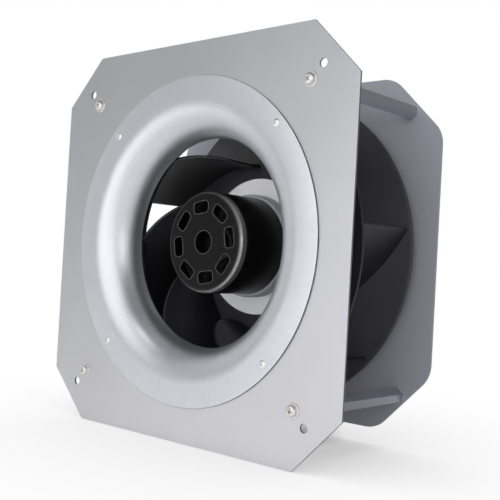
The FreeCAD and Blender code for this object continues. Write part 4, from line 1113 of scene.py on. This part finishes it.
@dataclass
class RotorFace:
    """Rolled edges of the slots and of the eye in the rotor cup's face."""

    face: float = 25.0 * MM
    eye_radius: float = 12.0 * MM
    slot_circle: float = 36.0 * MM
    slot_depth: float = 12.5 * MM
    slot_length: float = 21.0 * MM
    slot_corner: float = 4.5 * MM
    slots: int = 8
    first_slot: float = math.radians(9.0)
    lip: float = 0.42 * MM
    sunk: float = 0.4  # how deep a lip's middle lies behind the face, in lip radii
    corner_steps: int = 8
    eye_steps: int = 64

    def slot_path(self, turn: float) -> Skin:
        """Lip round one slot: a tube along a rectangle with round corners.

        Args:
            turn: the slot's place round the axis.

        Returns:
            The lip's skin.
        """
        across = self.slot_depth / 2 - self.slot_corner
        along = self.slot_length / 2 - self.slot_corner
        quarter = np.linspace(0, math.pi / 2, self.corner_steps)
        angle = np.concatenate([quarter + step * math.pi / 2 for step in range(4)])
        side_x = np.repeat([1, -1, -1, 1], self.corner_steps)
        side_z = np.repeat([1, 1, -1, -1], self.corner_steps)
        x = self.slot_circle + side_x * across + self.slot_corner * np.cos(angle)
        z = side_z * along + self.slot_corner * np.sin(angle)
        path = about_axis(x, np.full_like(x, self.face + self.lip * self.sunk), z, turn)
        return tube(path, about_axis(np.cos(angle), np.zeros_like(x), np.sin(angle), turn), self.lip)

    def build(self) -> None:
        """Make the lips of all slots and of the eye as one piece."""
        skins = [self.slot_path(self.first_slot + number * FULL_TURN / self.slots)
                 for number in range(self.slots)]
        angle = np.linspace(0, FULL_TURN, self.eye_steps, endpoint=False)
        out = np.stack([np.cos(angle), np.zeros_like(angle), np.sin(angle)], axis=-1)
        path = out * self.eye_radius + np.array([0.0, self.face + self.lip * self.sunk, 0.0])
        skins.append(tube(path, out, self.lip))
        # the lips wear a black lighter than the rotor's: partly edge wear, partly painted highlight lines
        make_piece("rotor_slot_lips", skins, "rotor_black", Body.ROTOR, finish="worn_black_painted_highlight")


@dataclass(frozen=True)
class Lamp:
    """A square lamp that looks at the middle of the fan, or straight down."""

    name: str
    place: Point
    power: float
    size: float
    down: bool = False
    spread: float = math.pi
    target: Point = (0.0, 0.08, 0.0)

    def build(self) -> None:
        """Make the lamp."""
        data = bpy.data.lights.new(self.name, "AREA")
        data.energy, data.size, data.spread = self.power, self.size, self.spread
        made = show(self.name, data)
        made.location = self.place
        way = Vector(self.target) - Vector(self.place)
        made.rotation_euler = (0.0, 0.0, 0.0) if self.down else way.to_track_quat("-Z", "Y").to_euler()


@dataclass
class Studio:
    """Camera, lamps, pale floor and white surroundings."""

    camera_place: Point = (613.79 * MM, -596.41 * MM, -20.92 * MM)
    azimuth: float = math.radians(41.488)
    elevation: float = math.radians(1.021)
    roll: float = math.radians(3.206)
    image_pixels: float = 500.0
    focal_pixels: float = 856.73
    sensor_mm: float = 36.0
    clip: tuple[float, float] = (0.01, 50.0)
    floor_drop: float = 0.5 * MM
    floor_size: float = 12.0
    floor_colours: tuple[Colour, Colour] = ((0.90, 0.90, 0.905), (0.93, 0.93, 0.935))
    mottle: float = 3.0
    floor_glow: float = 0.05  # what every ray gets from the floor at least
    fan_depth: float = 0.14  # the floor's shine leaves out a strip about this depth
    strip: tuple[float, float] = (0.11, 0.17)
    pool: tuple[float, float] = (0.1, -0.14)  # X and Y of the brightest shine
    pool_reach: tuple[float, float] = (0.1, 0.6)
    floor_shine: float = 0.50  # beyond the pool
    sky_reach: float = 0.9  # how far off a thing may shade the floor
    open_sky: tuple[float, float] = (0.20, 0.93)  # from the deepest shadow to none
    shadow_white: float = 0.48
    core: tuple[float, float] = (-0.01, 0.12)  # X and Y of the shadow's core
    core_reach: tuple[float, float] = (0.050, 0.110)
    core_white: float = 0.10
    above: float = 0.14  # strength of the surroundings' light
    below: float = 0.54
    horizon: tuple[float, float] = (-0.3, 0.6)  # rise of a ray from below to above
    lamps: tuple[Lamp, ...] = (
        Lamp("key_lamp", (0.10, -2.5, 0.42), 48.5, 3.4),
        Lamp("side_lamp", (2.2, -1.1, 0.40), 9.0, 1.3),
        Lamp("crown_lamp", (-1.9, -0.4, 0.75), 3.5, 1.5),
        Lamp("back_lamp", (-0.9, 2.6, 0.8), 10.0, 2.0),
        Lamp("floor_lamp", (-0.5, -1.35, 1.5), 16.0, 0.9, down=True, spread=math.radians(75.0)),
    )

    def camera(self) -> None:
        """Place the camera where the photograph was taken from."""
        sine, cosine = math.sin(self.azimuth), math.cos(self.azimuth)
        level, lift = math.cos(self.elevation), math.sin(self.elevation)
        forward = Vector((-sine * level, cosine * level, lift))
        flat_right = Vector((cosine, sine, 0.0))
        flat_up = flat_right.cross(forward)
        right = flat_right * math.cos(self.roll) + flat_up * math.sin(self.roll)
        up = right.cross(forward)
        data = bpy.data.cameras.new("photo_camera")
        data.sensor_width = self.sensor_mm
        data.lens = self.sensor_mm * self.focal_pixels / self.image_pixels
        data.clip_start, data.clip_end = self.clip
        made = show("photo_camera", data)
        turn = Matrix((right, up, -forward)).transposed().to_4x4()
        made.matrix_world = Matrix.Translation(self.camera_place) @ turn
        bpy.context.scene.camera = made

    def floor_white(self, graph: Graph) -> Socket:
        """How much of a ray meets white light in place of the floor's matt colour.

        To the camera the floor is white by how much sky it sees, and dark in the core under the
        fan. To reflections it shines in a pool before the fan and beside the strip below it.

        Args:
            graph: the floor material's graph.

        Returns:
            The share's socket.
        """
        place, level = graph.place(), float(CAD_BOX[0][2])
        seen = graph.add("ShaderNodeLightPath").outputs["Is Camera Ray"]
        mirrored = graph.add("ShaderNodeLightPath").outputs["Is Glossy Ray"]
        away = graph.math("ABSOLUTE", graph.math("SUBTRACT", graph.part(place, "Y"), self.fan_depth))
        apart = graph.vector_math("DISTANCE", place, (*self.pool, level)).outputs["Value"]
        pool = graph.ramp(apart, *self.pool_reach, 1.0, self.floor_shine)
        shine = graph.math("MULTIPLY", graph.math("MULTIPLY", mirrored, pool), graph.ramp(away, *self.strip))
        sky = graph.add("ShaderNodeAmbientOcclusion", Distance=self.sky_reach).outputs["AO"]
        lit = graph.ramp(sky, *self.open_sky, self.shadow_white)
        near = graph.vector_math("DISTANCE", place, (*self.core, level)).outputs["Value"]
        outside = graph.ramp(near, *self.core_reach, self.core_white)
        bright = graph.math("MULTIPLY", graph.math("MULTIPLY", seen, lit), outside)
        return graph.math("MAXIMUM", bright, graph.math("MAXIMUM", shine, self.floor_glow))

    def floor(self) -> None:
        """A pale floor that the camera sees as nearly white, with the fan's shadow on it."""
        half, height = self.floor_size / 2, float(CAD_BOX[0][2]) - self.floor_drop
        corners = [(x, y, height) for x, y in ((-half, -half), (half, -half), (half, half), (-half, half))]
        mesh = bpy.data.meshes.new("floor")
        mesh.from_pydata(corners, [], [(0, 1, 2, 3)])
        made = bpy.data.materials.new("floor_pale")
        graph = Graph.fresh(made)
        first, second = ((*colour, 1.0) for colour in self.floor_colours)
        colour = graph.blend(graph.noise(graph.place(), self.mottle), first, second)
        matt = graph.add("ShaderNodeBsdfDiffuse", Color=colour)
        white = graph.add("ShaderNodeEmission", Color=(1.0, 1.0, 1.0, 1.0), Strength=1.0)
        mixed = graph.add("ShaderNodeMixShader")
        for socket, value in zip(mixed.inputs, (self.floor_white(graph), matt.outputs[0], white.outputs[0])):
            graph.feed(socket, value)
        graph.add("ShaderNodeOutputMaterial", Surface=mixed.outputs[0])
        mesh.materials.append(made)
        show("floor", mesh)

    def surroundings(self) -> None:
        """White to the camera; for light and reflections, brighter below than above."""
        world = bpy.data.worlds.new("studio")
        graph = Graph.fresh(world)
        way = graph.add("ShaderNodeTexCoord").outputs["Generated"]
        level = graph.ramp(graph.part(way, "Z"), *self.horizon, self.below, self.above)
        seen = graph.add("ShaderNodeLightPath").outputs["Is Camera Ray"]
        strength = graph.math("MAXIMUM", seen, level)
        white = graph.add("ShaderNodeBackground", Color=(1.0, 1.0, 1.0, 1.0), Strength=strength)
        graph.add("ShaderNodeOutputWorld", Surface=white.outputs[0])
        bpy.context.scene.world = world

    def build(self) -> None:
        """Set up everything that isn't part of the fan."""
        self.camera()
        self.floor()
        self.surroundings()
        for lamp in self.lamps:
            lamp.build()
        bpy.context.scene.view_settings.view_transform = "Standard"
        log.info("studio: %d lamps", len(self.lamps))


def dress_nodes() -> None:
    """Give every CAD node the finish of its slot in the record, and the shaft and hub in the rotor's eye a
    black of painted shade.
    """
    # the shaft and hub are painted black as the shade in the rotor's eye
    painted_shade_finishes = {"rotor_shaft": "eye_painted_shade", "rotor_hub": "eye_painted_shade"}
    for entry in frame["record"]["subparts"]:
        node = frame["nodes"][entry["node"]]
        node.data.materials.clear()
        finish = painted_shade_finishes.get(entry["node"], entry["material_slot"])
        node.data.materials.append(FINISHES[finish].material())
    log.info("dressed %d nodes", len(frame["nodes"]))


def main() -> None:
    """Build the pieces in order, then the studio."""
    logging.basicConfig(level=logging.INFO, format="%(message)s")
    dress_nodes()
    InletNozzle().build()
    Rivets().build()
    CrossScrews("front_screw_heads", "front_post_screws", seat=0.0).build()
    CrossScrews("rear_screw_heads", "rear_post_screws", seat=174.2 * MM, direction=-1.0).build()
    Impeller().build()
    RotorFace().build()
    Studio().build()


if __name__ == "__main__":
    main()
